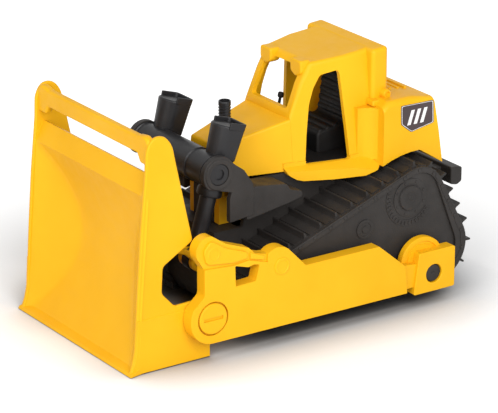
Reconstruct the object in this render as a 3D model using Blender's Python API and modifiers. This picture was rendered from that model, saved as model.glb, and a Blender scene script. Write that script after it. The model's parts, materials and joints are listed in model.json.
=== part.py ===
"""Toy bulldozer: moulded plastic body, tracks, and a blade that lifts on two push arms.

Metres, +Z up. The blade faces -Y, and the origin is on the floor below the middle.
A station is a distance behind the cutting edge of the blade, so y = station - LENGTH / 2.
Side outlines are lists of (station, height) points.
"""
import math

import bmesh
import bpy
from mathutils import Matrix, Vector

MM = 0.001

# Clearances
GAP = 0.3 * MM
PIN_GAP = 0.2 * MM
ROD_GAP = 0.4 * MM
EYE_GAP = 0.9 * MM

# Blade
BLADE_WIDTH = 100.0 * MM
BLADE_HEIGHT = 111.5 * MM
LIP_FLARE = 2.5 * MM
PLATE_WALL = 2.5 * MM
BOARD_WALL = 2.2 * MM
BOARD_TOP = 94.0 * MM
BOARD_BELLY = 12.5 * MM
WING_SLOPE = 0.55
BOARD_ROWS = 12
FOOT_DEPTH = 44.0 * MM
BAR_LOW = 101.4 * MM
BAR_HIGH = 108.0 * MM
BAR_DEPTH = 4.4 * MM
SLOT_HALF = 31.0 * MM

# Push arms
ARM_WALL = 6.5 * MM
ARM_LOW = 9.5 * MM
ARM_HIGH = 37.0 * MM
ARM_PIN_STATION = 168.4 * MM
ARM_PIN_HEIGHT = 16.2 * MM
ARM_PIN_RADIUS = 3.0 * MM
BLADE_PIN_STATION = 41.3 * MM
BLADE_PIN_HEIGHT = 22.0 * MM
BLADE_PIN_RADIUS = 4.0 * MM
BLADE_PIN_HEAD = 8.0 * MM
LIFT_ANGLE = math.radians(12.0)

# Lift cylinders
ROD_SPREAD = 45.2 * MM
ROD_PIN_STATION = 52.6 * MM
ROD_PIN_HEIGHT = 38.0 * MM
ROD_PIN_RADIUS = 2.0 * MM
ROD_RADIUS = 4.0 * MM
ROD_LENGTH = 41.0 * MM
EYE_RADIUS = 5.0 * MM
EYE_WIDTH = 5.0 * MM
EAR_WALL = 2.9 * MM
EAR_RADIUS = 4.5 * MM
BARREL_RADIUS = 6.1 * MM
HEAD_RADIUS = 6.9 * MM
HEAD_LOW = 46.0 * MM
BARREL_LOW = 31.0 * MM
BARREL_HIGH = 64.0 * MM
TRUNNION_STATION = 60.6 * MM
TRUNNION_HEIGHT = 81.0 * MM
TRUNNION_RADIUS = 8.3 * MM
JOURNAL_RADIUS = 5.0 * MM
YOKE_WALL = 3.1 * MM
YOKE_GAP = 0.6 * MM
CAP_RIM = 0.4 * MM

# Tracks: each wheel circle is (station, height, radius) of the belt surface
TRACK_WIDTH = 27.5 * MM
TRACK_WALL = 2.2 * MM
WHEEL_RADIUS = 13.0 * MM
AXLE_TO_BELT = 5.6 * MM
BELT_LOW = WHEEL_RADIUS - AXLE_TO_BELT
FRONT_IDLER = (74.0 * MM, BELT_LOW + 13.5 * MM, 13.5 * MM)
REAR_IDLER = (176.3 * MM, BELT_LOW + 18.0 * MM, 18.0 * MM)
SPROCKET = (165.0 * MM, 53.0 * MM, 15.2 * MM)
RIM_BAND = 3.0 * MM
REAR_BAND = 6.5 * MM
RELIEF = 0.9 * MM
GROUSERS = 34
GROUSER_HIGH = 3.0 * MM
GROUSER_BASE = 3.2 * MM
GROUSER_TIP = 1.4 * MM
ARC_STEP = math.radians(12.0)

# Rolling wheels hidden in the tracks
WHEEL_WIDTH = 10.0 * MM
WHEEL_STATIONS = {"front": 84.0 * MM, "rear": 158.0 * MM}
AXLE_RADIUS = 1.5 * MM
AXLE_HALF = 40.0 * MM
WHEEL_SLOT_GAP = 1.0 * MM

# Chassis
CHASSIS_FRONT = 66.0 * MM
CHASSIS_REAR = 192.0 * MM
CHASSIS_LOW = 6.0 * MM
CHASSIS_DECK = 47.0 * MM
CHASSIS_WALL = 2.2 * MM
SILL = 69.2 * MM
TAIL_HEIGHT = 58.0 * MM
FLOOR_WALL = 2.5 * MM

# Body
BODY_WALL = 2.2 * MM
HOOD_FRONT = 74.0 * MM
HOOD_TOP = 85.8 * MM
HOOD_SKIRT = 70.0 * MM
NOSE_HALF = 13.1 * MM
SIDE_TAPER = 0.24
TUMBLEHOME = 0.119
CAB_WIDTH = 56.6 * MM
CAB_FRONT = 110.0 * MM
CAB_REAR = 160.5 * MM
ROOF = 124.0 * MM
ROOF_FALL = 0.09
CAB_STEP = 0.15 * MM
SCREEN_LOW = 97.0 * MM
SCREEN_BEND = 110.5 * MM
SCREEN_TOP = 120.4 * MM
DOOR_SILL = 72.0 * MM
DOOR_TOP = 115.6 * MM
SKIRT_FRONT = 105.0 * MM
TANK_WIDTH = 76.0 * MM
TANK_FRONT = 151.0 * MM
TANK_REAR = 186.3 * MM
TANK_TOP = 99.0 * MM
EXHAUST_STATION = 85.6 * MM
EXHAUST_TOP = 103.5 * MM
EXHAUST_RADIUS = 3.0 * MM
POST_RADIUS = 3.5 * MM
SCREW_RADIUS = 1.2 * MM
SCREW_HEAD = 2.8 * MM
SCREW_SPOTS = {"front": (97.0 * MM, 9.0 * MM), "rear": (172.0 * MM, 12.0 * MM)}

# Rear hitch
HITCH_REACH = 21.0 * MM
LENGTH = CHASSIS_REAR + HITCH_REACH
HITCH_WIDTH = 40.0 * MM
HITCH_BAR = 7.0 * MM

# Places that follow from the sizes above
MID = LENGTH / 2
ARM_INNER = BLADE_WIDTH / 2 + GAP
ARM_OUTER = ARM_INNER + ARM_WALL
TRACK_OUTER = ARM_INNER - 2.3 * MM
TRACK_INNER = TRACK_OUTER - TRACK_WIDTH
CHASSIS_HALF = TRACK_INNER - GAP
ROD_X = ROD_SPREAD / 2
YOKE_INNER = ROD_X + HEAD_RADIUS + YOKE_GAP
YOKE_OUTER = YOKE_INNER + YOKE_WALL
ARM_PIVOT = Vector((0, ARM_PIN_STATION - MID, ARM_PIN_HEIGHT))
ROD_PIN = Vector((0, ROD_PIN_STATION - MID, ROD_PIN_HEIGHT))
CAB_BEND = HOOD_FRONT + (CAB_WIDTH / 2 - NOSE_HALF) / SIDE_TAPER


def clear_scene():
    for old in list(bpy.data.objects):
        bpy.data.objects.remove(old)
    for name in ("toy_bulldozer", "cutters"):
        bpy.context.scene.collection.children.link(bpy.data.collections.new(name))


def plastic(name, color, roughness, metallic=0.0):
    material = bpy.data.materials.new(name)
    material.use_nodes = True
    shader = material.node_tree.nodes["Principled BSDF"]
    shader.inputs["Base Color"].default_value = (*color, 1)
    shader.inputs["Roughness"].default_value = roughness
    shader.inputs["Metallic"].default_value = metallic
    return material


def close_mesh(mesh):
    """Weld loose caps and point every face outwards."""
    bm = bmesh.new()
    bm.from_mesh(mesh)
    bmesh.ops.remove_doubles(bm, verts=bm.verts, dist=1e-7)
    bmesh.ops.recalc_face_normals(bm, faces=bm.faces)
    bm.to_mesh(mesh)
    bm.free()
    return mesh


def evaluated_mesh(source):
    """Mesh of an object with its modifiers or curve bevel made real; the object goes."""
    bpy.data.collections["cutters"].objects.link(source)
    graph = bpy.context.evaluated_depsgraph_get()
    mesh = bpy.data.meshes.new_from_object(source.evaluated_get(graph))
    bpy.data.objects.remove(source)
    return close_mesh(mesh)


def extruded(outline, low, high, turn):
    curve = bpy.data.curves.new("outline", "CURVE")
    curve.dimensions = "2D"
    curve.fill_mode = "BOTH"
    curve.extrude = (high - low) / 2
    spline = curve.splines.new("POLY")
    spline.points.add(len(outline) - 1)
    for point, (across, up) in zip(spline.points, outline):
        point.co = (across, up, 0, 1)
    spline.use_cyclic_u = True
    mesh = evaluated_mesh(bpy.data.objects.new("outline", curve))
    mesh.transform(Matrix.Translation((0, 0, (high + low) / 2)))
    mesh.transform(turn)
    return mesh


def side_prism(outline, low, high):
    """Extrude a (station, height) outline across the toy, from x = low to x = high."""
    turn = Matrix(((0, 0, 1, 0), (1, 0, 0, -MID), (0, 1, 0, 0), (0, 0, 0, 1)))
    return extruded(outline, low, high, turn)


def front_prism(outline, low, high):
    """Extrude an (x, height) outline along the toy, between two stations."""
    turn = Matrix(((1, 0, 0, 0), (0, 0, 1, -MID), (0, 1, 0, 0), (0, 0, 0, 1)))
    return close_mesh(extruded(outline, low, high, turn))


def block(x_span, station_span, z_span):
    low, high = zip(x_span, station_span, z_span)
    outline = [(low[1], low[2]), (high[1], low[2]), (high[1], high[2]), (low[1], high[2])]
    return side_prism(outline, low[0], high[0])


def rod_mesh(start, end, radius, sides=20):
    """Solid round bar between two points."""
    start, end = Vector(start), Vector(end)
    along = end - start
    place = Matrix.Translation((start + end) / 2) @ along.to_track_quat("Z", "X").to_matrix().to_4x4()
    bm = bmesh.new()
    bmesh.ops.create_cone(bm, cap_ends=True, segments=sides, radius1=radius, radius2=radius,
                          depth=along.length, matrix=place)
    mesh = bpy.data.meshes.new("bar")
    bm.to_mesh(mesh)
    bm.free()
    return mesh


def cross_bar(station, height, radius, low, high, sides=20):
    """Round bar across the toy, from x = low to x = high."""
    y = station - MID
    return rod_mesh((low, y, height), (high, y, height), radius, sides)


def turned(profile, station, height, sides=24):
    """Closed (x, radius) profile turned about a cross axis; a side on the axis is left out."""
    bm = bmesh.new()
    ring = [bm.verts.new((x, 0, radius)) for x, radius in profile]
    for corner, following in zip(ring, ring[1:] + ring[:1]):
        if corner.co.z or following.co.z:
            bm.edges.new((corner, following))
    mesh = bpy.data.meshes.new("profile")
    bm.to_mesh(mesh)
    bm.free()
    source = bpy.data.objects.new("profile", mesh)
    screw = source.modifiers.new("turn", "SCREW")
    screw.axis = "X"
    screw.steps = screw.render_steps = sides
    screw.use_merge_vertices = True
    screw.merge_threshold = 0.00001
    mesh = evaluated_mesh(source)
    mesh.transform(Matrix.Translation((0, station - MID, height)))
    return mesh


def loft(rings):
    """Closed solid through rings of points that correspond one to one."""
    bm = bmesh.new()
    loops = [[bm.verts.new(point) for point in ring] for ring in rings]
    for lower, upper in zip(loops, loops[1:]):
        for i in range(len(lower)):
            j = (i + 1) % len(lower)
            bm.faces.new((lower[i], lower[j], upper[j], upper[i]))
    bm.faces.new(reversed(loops[0]))
    bm.faces.new(loops[-1])
    mesh = bpy.data.meshes.new("loft")
    bm.to_mesh(mesh)
    bm.free()
    return close_mesh(mesh)


def merged(meshes):
    """One mesh of several separate bodies, for a single boolean."""
    bm = bmesh.new()
    for mesh in meshes:
        bm.from_mesh(mesh)
    mesh = bpy.data.meshes.new("group")
    bm.to_mesh(mesh)
    bm.free()
    return mesh


def arc(center, radius, start, end, steps):
    """Points on a circle from one angle in degrees to another."""
    points = []
    for i in range(steps + 1):
        angle = math.radians(start + (end - start) * i / steps)
        points.append((center[0] + radius * math.cos(angle), center[1] + radius * math.sin(angle)))
    return points


def mm(*points):
    """Outline points written in millimetres."""
    return [(across * MM, up * MM) for across, up in points]


def rounded(outline, radius, steps=3):
    """Round every corner of an outline, by no more than half of its shorter side."""
    result = []
    for i, corner in enumerate(outline):
        here = Vector(corner)
        before = Vector(outline[i - 1]) - here
        after = Vector(outline[(i + 1) % len(outline)]) - here
        reach = min(radius, before.length / 2, after.length / 2)
        first = here + before.normalized() * reach
        last = here + after.normalized() * reach
        for k in range(steps + 1):
            t = k / steps
            point = first * (1 - t) ** 2 + here * (2 * t * (1 - t)) + last * t ** 2
            result.append((point.x, point.y))
    return result


def soften(mesh, width, steps, chosen):
    """Round the sharp edges of a mesh that pass a test on their two end points."""
    bm = bmesh.new()
    bm.from_mesh(mesh)
    edges = [edge for edge in bm.edges if chosen(edge.verts[0].co, edge.verts[1].co)
             and edge.calc_face_angle(0) > math.radians(30)]
    bmesh.ops.bevel(bm, geom=edges, offset=width, segments=steps, profile=0.5,
                    affect="EDGES", clamp_overlap=True)
    bm.to_mesh(mesh)
    bm.free()
    return close_mesh(mesh)


def piece(name, mesh, material, pivot=None):
    """A named part; a moving one hangs on the empty at its joint."""
    mesh.name = name
    made = bpy.data.objects.new(name, mesh)
    mesh.materials.clear()
    mesh.materials.append(material)
    mesh.shade_smooth()
    mesh.set_sharp_from_angle(angle=math.radians(30))
    bpy.data.collections["toy_bulldozer"].objects.link(made)
    if pivot:
        made.parent = pivot
        made.matrix_parent_inverse = Matrix.Translation(pivot.location).inverted()
    return made


def pivot_empty(name, place):
    empty = bpy.data.objects.new(name, None)
    empty.location = place
    empty.empty_display_size = 0.01
    bpy.data.collections["toy_bulldozer"].objects.link(empty)
    return empty


def boolean(made, mesh, operation):
    tool = bpy.data.objects.new(f"{made.name}_{operation.lower()}", mesh)
    tool.hide_render = True
    tool.display_type = "WIRE"
    bpy.data.collections["cutters"].objects.link(tool)
    step = made.modifiers.new(operation.lower(), "BOOLEAN")
    step.operation = operation
    step.object = tool


def join(made, *meshes):
    for mesh in meshes:
        boolean(made, mesh, "UNION")


def cut(made, *meshes):
    for mesh in meshes:
        boolean(made, mesh, "DIFFERENCE")


def mirrored(mesh):
    """Copy of a mesh for the other side of the toy."""
    copy = mesh.copy()
    copy.transform(Matrix.Scale(-1, 4, (1, 0, 0)))
    copy.flip_normals()
    return copy


def both_sides(mesh):
    return merged([mesh, mirrored(mesh)])


def for_side(mesh, side):
    return mesh if side > 0 else mirrored(mesh)


# Blade

def plate_front(height):
    """Station of the side plates' front edge."""
    return 2.9 * MM + 0.08 * height


def board_center(height):
    """Station of the moldboard's front face between the wings, a shallow bowl."""
    low, low_station, high_station = 1.5 * MM, 3.0 * MM, 14.0 * MM
    u = (height - low) / (BOARD_TOP - low)
    return low_station + (high_station - low_station) * u + 4 * BOARD_BELLY * u * (1 - u)


def board_limits(height):
    """Half width of the moldboard, and stations of its wings' outer edges and of its middle."""
    return BLADE_WIDTH / 2 - 1.0 * MM, plate_front(height) + 0.1 * MM, board_center(height) + 0.2 * MM


def board_station(x, height):
    edge, front, middle = board_limits(height)
    return min(middle, front + (edge - abs(x)) * WING_SLOPE)


def board_ring(height):
    """Plan outline of the moldboard at one height: two wings and a straight middle."""
    edge, front, middle = board_limits(height)
    crease = edge - (middle - front) / WING_SLOPE
    plan = [(-edge, front), (-crease, middle), (crease, middle), (edge, front)]
    plan += [(x, station + BOARD_WALL) for x, station in reversed(plan)]
    return [(x, station - MID, height) for x, station in plan]


def moldboard():
    low = 1.5 * MM
    heights = [low + (BOARD_TOP - low) * i / (BOARD_ROWS - 1) for i in range(BOARD_ROWS)]
    return loft([board_ring(height) for height in heights])


def side_plate_outline():
    """Ear at the top, slanted back edge, eight-sided notch, and a foot on the floor."""
    foot = mm((0.5, 0.5), (2.6, 6), (3.9, 11.9), (5.8, 41.5), (8, 70.4))
    ear = rounded([(10.6 * MM, 96 * MM), (11.6 * MM, BLADE_HEIGHT), (24.5 * MM, BLADE_HEIGHT),
                   (26.5 * MM, 99 * MM)], 5.5 * MM, 4)[3:-3]
    notch = mm((35.3, 59.3), (19.1, 49.8), (18.4, 36.9), (25.3, 29.4), (39, 29.8))
    heel = [(FOOT_DEPTH, 26 * MM), (FOOT_DEPTH, 0.5 * MM)]
    return foot + ear + notch + heel


def make_blade(yellow, pivot):
    half = BLADE_WIDTH / 2
    plate = side_prism(side_plate_outline(), half - PLATE_WALL, half)
    boss = cross_bar(BLADE_PIN_STATION, BLADE_PIN_HEIGHT, 9.5 * MM, half - PLATE_WALL, half)
    bar_front = plate_front(BAR_LOW) + 3.0 * MM
    edge = half - 1 * MM
    swell = [(edge, BOARD_TOP - 4 * MM), (edge, BAR_HIGH - 4 * MM)]
    swell += arc((edge - 4.8 * MM, BAR_HIGH - 1.4 * MM), 4.8 * MM, 0, 115, 5)
    swell += arc((edge - 12.8 * MM, BAR_HIGH + 5 * MM), 5 * MM, 345, 270, 3)
    header = front_prism(swell + [(-x, z) for x, z in reversed(swell)], bar_front, bar_front + BAR_DEPTH)
    slot = front_prism([(-SLOT_HALF, BAR_LOW), (SLOT_HALF, BAR_LOW), (SLOT_HALF, BOARD_TOP),
                        (-SLOT_HALF + 2 * MM, BOARD_TOP)], bar_front - 9 * MM, bar_front + 9 * MM)
    lip_half = half + LIP_FLARE
    lip = loft([[(-lip_half, 0 - MID, 0.3 * MM), (lip_half, 0 - MID, 0.3 * MM),
                 (half, 11 * MM - MID, 0.3 * MM), (-half, 11 * MM - MID, 0.3 * MM)],
                [(-lip_half + 1 * MM, 0.8 * MM - MID, 1.6 * MM),
                 (lip_half - 1 * MM, 0.8 * MM - MID, 1.6 * MM),
                 (half - 0.5 * MM, 9 * MM - MID, 5 * MM), (-half + 0.5 * MM, 9 * MM - MID, 5 * MM)]])
    blade = piece("blade", moldboard(), yellow, pivot)
    join(blade, both_sides(plate), both_sides(boss), header, lip)
    cut(blade, slot)
    pin_hole = cross_bar(BLADE_PIN_STATION, BLADE_PIN_HEIGHT, BLADE_PIN_RADIUS + PIN_GAP,
                         half - 8 * MM, half + 8 * MM)
    cut(blade, both_sides(pin_hole))
    ear_inner = EYE_WIDTH / 2 + 0.5 * MM
    for inner in (ROD_X + ear_inner, ROD_X - ear_inner - EAR_WALL):
        ear = [(board_station(inner + EAR_WALL / 2, height) + BOARD_WALL / 2, height)
               for height in (56 * MM, 45 * MM, 35 * MM)]
        ear += arc((ROD_PIN_STATION, ROD_PIN_HEIGHT), EAR_RADIUS, -95, 85, 8)
        join(blade, both_sides(side_prism(ear, inner, inner + EAR_WALL)))
    rod_hole = cross_bar(ROD_PIN_STATION, ROD_PIN_HEIGHT, ROD_PIN_RADIUS + PIN_GAP,
                         ROD_X - 12 * MM, ROD_X + 12 * MM)
    cut(blade, both_sides(rod_hole))


def make_rod_pin(steel, pivot, name, side):
    reach = EYE_WIDTH / 2 + EAR_WALL + 1.0 * MM
    pin = cross_bar(ROD_PIN_STATION, ROD_PIN_HEIGHT, ROD_PIN_RADIUS, ROD_X - reach, ROD_X + reach, 16)
    piece(f"rod_pin_{name}", for_side(pin, side), steel, pivot)


# Push arms

def arm_outline():
    """Round front end, upright, knuckle, strut hump, straight beam and the pivot block."""
    outline = arc((BLADE_PIN_STATION, BLADE_PIN_HEIGHT), BLADE_PIN_HEIGHT - ARM_LOW, 270, 140, 8)
    outline += mm((33.2, 40.6), (33.2, 47))
    outline += arc((37.3 * MM, 55.5 * MM), 7.2 * MM, 215, 75, 7)
    outline += mm((49.1, 56.7), (61.5, 52.1), (64.8, 48.9), (69.7, 47.4))
    outline += arc((77.5 * MM, 40.5 * MM), 8.8 * MM, 130, 40, 5)
    outline += [(93 * MM, ARM_HIGH), (ARM_PIN_STATION - 33 * MM, ARM_HIGH)]
    back, low = ARM_PIN_STATION, ARM_PIN_HEIGHT
    outline += [(back - 16.4 * MM, low + 7.5 * MM)]
    outline += rounded([(back - 9 * MM, low + 11.8 * MM), (back + 12.5 * MM, low + 11.8 * MM),
                        (back + 12.5 * MM, low - 9 * MM), (back - 12 * MM, low - 9 * MM)], 3 * MM)
    outline += [(back - 16 * MM, ARM_LOW)]
    return outline


def make_arm(yellow, pivot, name, side):
    arm_mesh = soften(side_prism(arm_outline(), ARM_INNER, ARM_OUTER), 0.8 * MM, 2,
                      lambda a, b: a.x > ARM_OUTER - GAP and b.x > ARM_OUTER - GAP)
    arm = piece(f"push_arm_{name}", for_side(arm_mesh, side), yellow, pivot)
    disc = cross_bar(ARM_PIN_STATION - 4 * MM, ARM_PIN_HEIGHT + 5.5 * MM, 12.6 * MM,
                     ARM_INNER - 1.2 * MM, ARM_INNER + 2 * MM, 32)
    join(arm, for_side(disc, side))
    for station, height, radius in ((41.7, 53.3, 3.6), (79.5, 39.5, 4.2)):
        stud = cross_bar(station * MM, height * MM, radius * MM, ARM_OUTER - 1 * MM, ARM_OUTER + 0.5 * MM)
        join(arm, for_side(stud, side))
    window = side_prism(rounded(mm((53.8, 45), (66.4, 42.4), (64.6, 38), (54.1, 38)), 0.8 * MM),
                        ARM_INNER - 5 * MM, ARM_OUTER + 5 * MM)
    recess = cross_bar(BLADE_PIN_STATION, BLADE_PIN_HEIGHT, BLADE_PIN_HEAD + GAP,
                       ARM_OUTER - 1.5 * MM, ARM_OUTER + 5 * MM, 32)
    shank = cross_bar(BLADE_PIN_STATION, BLADE_PIN_HEIGHT, BLADE_PIN_RADIUS + PIN_GAP,
                      ARM_INNER - 5 * MM, ARM_OUTER)
    bore = cross_bar(ARM_PIN_STATION, ARM_PIN_HEIGHT, ARM_PIN_RADIUS + PIN_GAP,
                     ARM_INNER - 5 * MM, ARM_OUTER + 5 * MM)
    cut(arm, *(for_side(mesh, side) for mesh in (window, recess, shank, bore)))


def make_blade_pin(yellow, pivot, name, side):
    """Flat head with a screwdriver slot, and a shank through arm and side plate."""
    head = ARM_OUTER - 1.5 * MM + GAP
    tail = BLADE_WIDTH / 2 - PLATE_WALL - 2 * MM
    face = ARM_OUTER + 0.4 * MM
    profile = [(tail, 0), (tail, BLADE_PIN_RADIUS), (head, BLADE_PIN_RADIUS), (head, BLADE_PIN_HEAD),
               (face - 0.6 * MM, BLADE_PIN_HEAD), (face, BLADE_PIN_HEAD - 0.6 * MM), (face, 0)]
    pin = piece(f"blade_pin_{name}", for_side(turned(profile, BLADE_PIN_STATION, BLADE_PIN_HEIGHT), side),
                yellow, pivot)
    slot = block((face - 0.9 * MM, face + 2 * MM),
                 (BLADE_PIN_STATION - 6.2 * MM, BLADE_PIN_STATION + 6.2 * MM),
                 (BLADE_PIN_HEIGHT - 0.8 * MM, BLADE_PIN_HEIGHT + 0.8 * MM))
    cut(pin, for_side(slot, side))


# Lift cylinders: their axis is the chord of the rod pin's path as the blade lifts

def lift_chord():
    swing = Matrix.Rotation(-LIFT_ANGLE, 3, "X")
    return ARM_PIVOT + swing @ (ROD_PIN - ARM_PIVOT) - ROD_PIN


def along_rod(distance):
    return Vector((ROD_X, 0, 0)) + ROD_PIN + lift_chord().normalized() * distance


def make_lift_cylinders(black):
    """One moulding: cross tube with end journals, and a barrel with a square cap on each side."""
    tube_end, journal_end = YOKE_INNER - GAP, YOKE_OUTER
    tube = turned([(-journal_end, 0), (-journal_end, JOURNAL_RADIUS), (-tube_end, JOURNAL_RADIUS),
                   (-tube_end, TRUNNION_RADIUS), (tube_end, TRUNNION_RADIUS),
                   (tube_end, JOURNAL_RADIUS), (journal_end, JOURNAL_RADIUS), (journal_end, 0)],
                  TRUNNION_STATION, TRUNNION_HEIGHT)
    pair = piece("lift_cylinder_pair", tube, black)
    barrel = rod_mesh(along_rod(BARREL_LOW), along_rod(HEAD_LOW + 4 * MM), BARREL_RADIUS)
    head = rod_mesh(along_rod(HEAD_LOW), along_rod(BARREL_HIGH), HEAD_RADIUS, 24)
    join(pair, both_sides(barrel), both_sides(head))
    cap_half, cap_low, cap_high = HEAD_RADIUS + CAP_RIM, BARREL_HIGH - 13.0 * MM, BARREL_HIGH + 2.5 * MM
    across, ahead = Vector((1, 0, 0)), lift_chord().normalized().cross(Vector((1, 0, 0)))
    corners = rounded([(-cap_half, -cap_half), (cap_half, -cap_half), (cap_half, cap_half),
                       (-cap_half, cap_half)],
                      2 * MM)
    cap = loft([[along_rod(end) + across * x + ahead * y for x, y in corners] for end in (cap_low, cap_high)])
    join(pair, both_sides(cap))
    bore = rod_mesh(along_rod(0), along_rod(BARREL_HIGH + 10 * MM), ROD_RADIUS + ROD_GAP)
    cup = rod_mesh(along_rod(BARREL_HIGH - 2 * MM), along_rod(BARREL_HIGH + 9 * MM), HEAD_RADIUS - 1.3 * MM)
    cut(pair, both_sides(bore), both_sides(cup))


def make_lift_rod(black, name, side):
    eye = cross_bar(ROD_PIN_STATION, ROD_PIN_HEIGHT, EYE_RADIUS, ROD_X - EYE_WIDTH / 2, ROD_X + EYE_WIDTH / 2)
    place = Vector((side * ROD_X, ROD_PIN.y, ROD_PIN.z))
    rod = piece(f"lift_rod_{name}", for_side(eye, side), black, pivot_empty(f"lift_rod_{name}_axis", place))
    neck = rod_mesh(along_rod(3 * MM), along_rod(9 * MM), EYE_WIDTH / 2, 16)
    shaft = rod_mesh(along_rod(8 * MM), along_rod(ROD_LENGTH), ROD_RADIUS)
    join(rod, for_side(neck, side), for_side(shaft, side))
    bore = cross_bar(ROD_PIN_STATION, ROD_PIN_HEIGHT, ROD_PIN_RADIUS + EYE_GAP,
                     ROD_X - 9 * MM, ROD_X + 9 * MM)
    cut(rod, for_side(bore, side))


def make_side_frame(black, name, side):
    """Cheek beside the chassis, with the yoke that carries the cross tube."""
    cheek = side_prism(rounded(mm((76, 55), (100, 58.8), (108, 60.5), (108, 63.5), (101, 65.5), (99, 68.8),
                                  (82, 71), (76, 70.5)), 1.5 * MM), CHASSIS_HALF + GAP, YOKE_OUTER - GAP)
    yoke_line = arc((TRUNNION_STATION, TRUNNION_HEIGHT), TRUNNION_RADIUS + 0.4 * MM, 55, 215, 10)
    yoke_line += mm((54.6, 74.7), (67.5, 70.8), (66.4, 67.6), (66.4, 56), (80, 57.5), (80, 70), (79.5, 73),
                    (74.6, 80.5), (69.5, 84.2))
    yoke = side_prism(yoke_line, YOKE_INNER, YOKE_OUTER)
    frame = piece(f"side_frame_{name}", for_side(cheek, side), black)
    join(frame, for_side(yoke, side))
    bore = cross_bar(TRUNNION_STATION, TRUNNION_HEIGHT, JOURNAL_RADIUS + PIN_GAP,
                     YOKE_INNER - 5 * MM, YOKE_OUTER + 5 * MM)
    cut(frame, for_side(bore, side))


# Tracks

def belt(wheels):
    """Outline of a tight belt round circles given in turning order."""
    normals = []
    for (s1, z1, r1), (s2, z2, r2) in zip(wheels, wheels[1:] + wheels[:1]):
        along = Vector((s2 - s1, z2 - z1))
        lean = (r1 - r2) / along.length
        along.normalize()
        normals.append(along * lean + Vector((along.y, -along.x)) * math.sqrt(1 - lean * lean))
    outline = []
    for i, (station, height, radius) in enumerate(wheels):
        start = math.atan2(normals[i - 1].y, normals[i - 1].x)
        sweep = (math.atan2(normals[i].y, normals[i].x) - start) % (2 * math.pi)
        steps = max(2, round(sweep / ARC_STEP))
        outline += arc((station, height), radius, math.degrees(start), math.degrees(start + sweep), steps)
    return outline


def shrunk(wheels, *amounts):
    return [(s, z, r - amount) for (s, z, r), amount in zip(wheels, amounts)]


def grouser_bars():
    """Tapered bars across the belt at an even pitch."""
    outline = [Vector(point) for point in belt(TRACK_WHEELS)]
    sides = list(zip(outline, outline[1:] + outline[:1]))
    pitch = sum((b - a).length for a, b in sides) / GROUSERS
    bars, walked, number = [], 0.0, 0
    for a, b in sides:
        along = b - a
        while number * pitch + pitch / 2 < walked + along.length:
            place = a + along.normalized() * (number * pitch + pitch / 2 - walked)
            ahead = along.normalized()
            out = Vector((ahead.y, -ahead.x))
            root, tip = place - out * 0.8 * MM, place + out * GROUSER_HIGH
            corners = [root - ahead * GROUSER_BASE / 2, root + ahead * GROUSER_BASE / 2,
                       tip + ahead * GROUSER_TIP / 2, tip - ahead * GROUSER_TIP / 2]
            bars.append(side_prism([(c.x, c.y) for c in corners], TRACK_INNER, TRACK_OUTER - TRACK_WALL))
            number += 1
        walked += along.length
    return merged(bars)


def make_track(black, name, side):
    """Moulded track: belt with grousers, and a side wall with drive-wheel relief."""
    solid = side_prism(belt(TRACK_WHEELS), TRACK_INNER, TRACK_OUTER)
    track = piece(f"track_{name}", for_side(solid, side), black)
    walls = [TRACK_WALL + GAP] * 3
    cavity = side_prism(belt(shrunk(TRACK_WHEELS, *walls)), TRACK_INNER - 5 * MM, TRACK_OUTER - TRACK_WALL)
    pocket = side_prism(belt(shrunk(TRACK_WHEELS, RIM_BAND, REAR_BAND, RIM_BAND)),
                        TRACK_OUTER - RELIEF, TRACK_OUTER + 5 * MM)
    join(track, for_side(grouser_bars(), side))
    cut(track, for_side(cavity, side), for_side(pocket, side))
    floor = TRACK_OUTER - RELIEF - 0.5 * MM
    hub_station, hub_height = SPROCKET[0] - 4.5 * MM, SPROCKET[1] + 0.5 * MM
    discs = [cross_bar(hub_station, hub_height, 12.0 * MM, floor, floor + 1.0 * MM, 28)]
    for station in (92, 108, 124, 140):
        discs.append(cross_bar(station * MM, 17.5 * MM, 6.5 * MM, floor, floor + 1.0 * MM))
    discs.append(cross_bar(134 * MM, 43 * MM, 4.5 * MM, floor, floor + 1.0 * MM, 16))
    join(track, *(for_side(disc, side) for disc in discs))
    join(track, for_side(cross_bar(hub_station, hub_height, 6.0 * MM, floor, TRACK_OUTER), side))
    boss = cross_bar(ARM_PIN_STATION, ARM_PIN_HEIGHT, ARM_PIN_RADIUS + 2.5 * MM,
                     TRACK_OUTER - TRACK_WALL - 5 * MM, TRACK_OUTER)
    bore = cross_bar(ARM_PIN_STATION, ARM_PIN_HEIGHT, ARM_PIN_RADIUS + PIN_GAP,
                     TRACK_OUTER - TRACK_WALL - 9 * MM, TRACK_OUTER + 5 * MM)
    join(track, for_side(boss, side))
    cut(track, for_side(bore, side))
    wheel_rise = AXLE_TO_BELT - TRACK_WALL
    slot_half = math.sqrt(WHEEL_RADIUS ** 2 - wheel_rise ** 2) + WHEEL_SLOT_GAP
    for station in WHEEL_STATIONS.values():
        slot = block((WHEEL_X - WHEEL_WIDTH / 2 - WHEEL_SLOT_GAP, WHEEL_X + WHEEL_WIDTH / 2 + WHEEL_SLOT_GAP),
                     (station - slot_half, station + slot_half), (-5 * MM, BELT_LOW + TRACK_WALL + 1 * MM))
        cut(track, for_side(slot, side))


def make_track_inner(black, name, side):
    """Plate that closes the inner side of a track and guides the axles."""
    edge = belt(shrunk(TRACK_WHEELS, *[TRACK_WALL + 2 * GAP] * 3))
    plate = side_prism(edge, TRACK_INNER, TRACK_INNER + 2 * MM)
    inner = piece(f"track_inner_{name}", for_side(plate, side), black)
    for station in WHEEL_STATIONS.values():
        hole = cross_bar(station, WHEEL_RADIUS, AXLE_RADIUS + GAP, TRACK_INNER - 5 * MM, TRACK_INNER + 9 * MM)
        cut(inner, for_side(hole, side))


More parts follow.
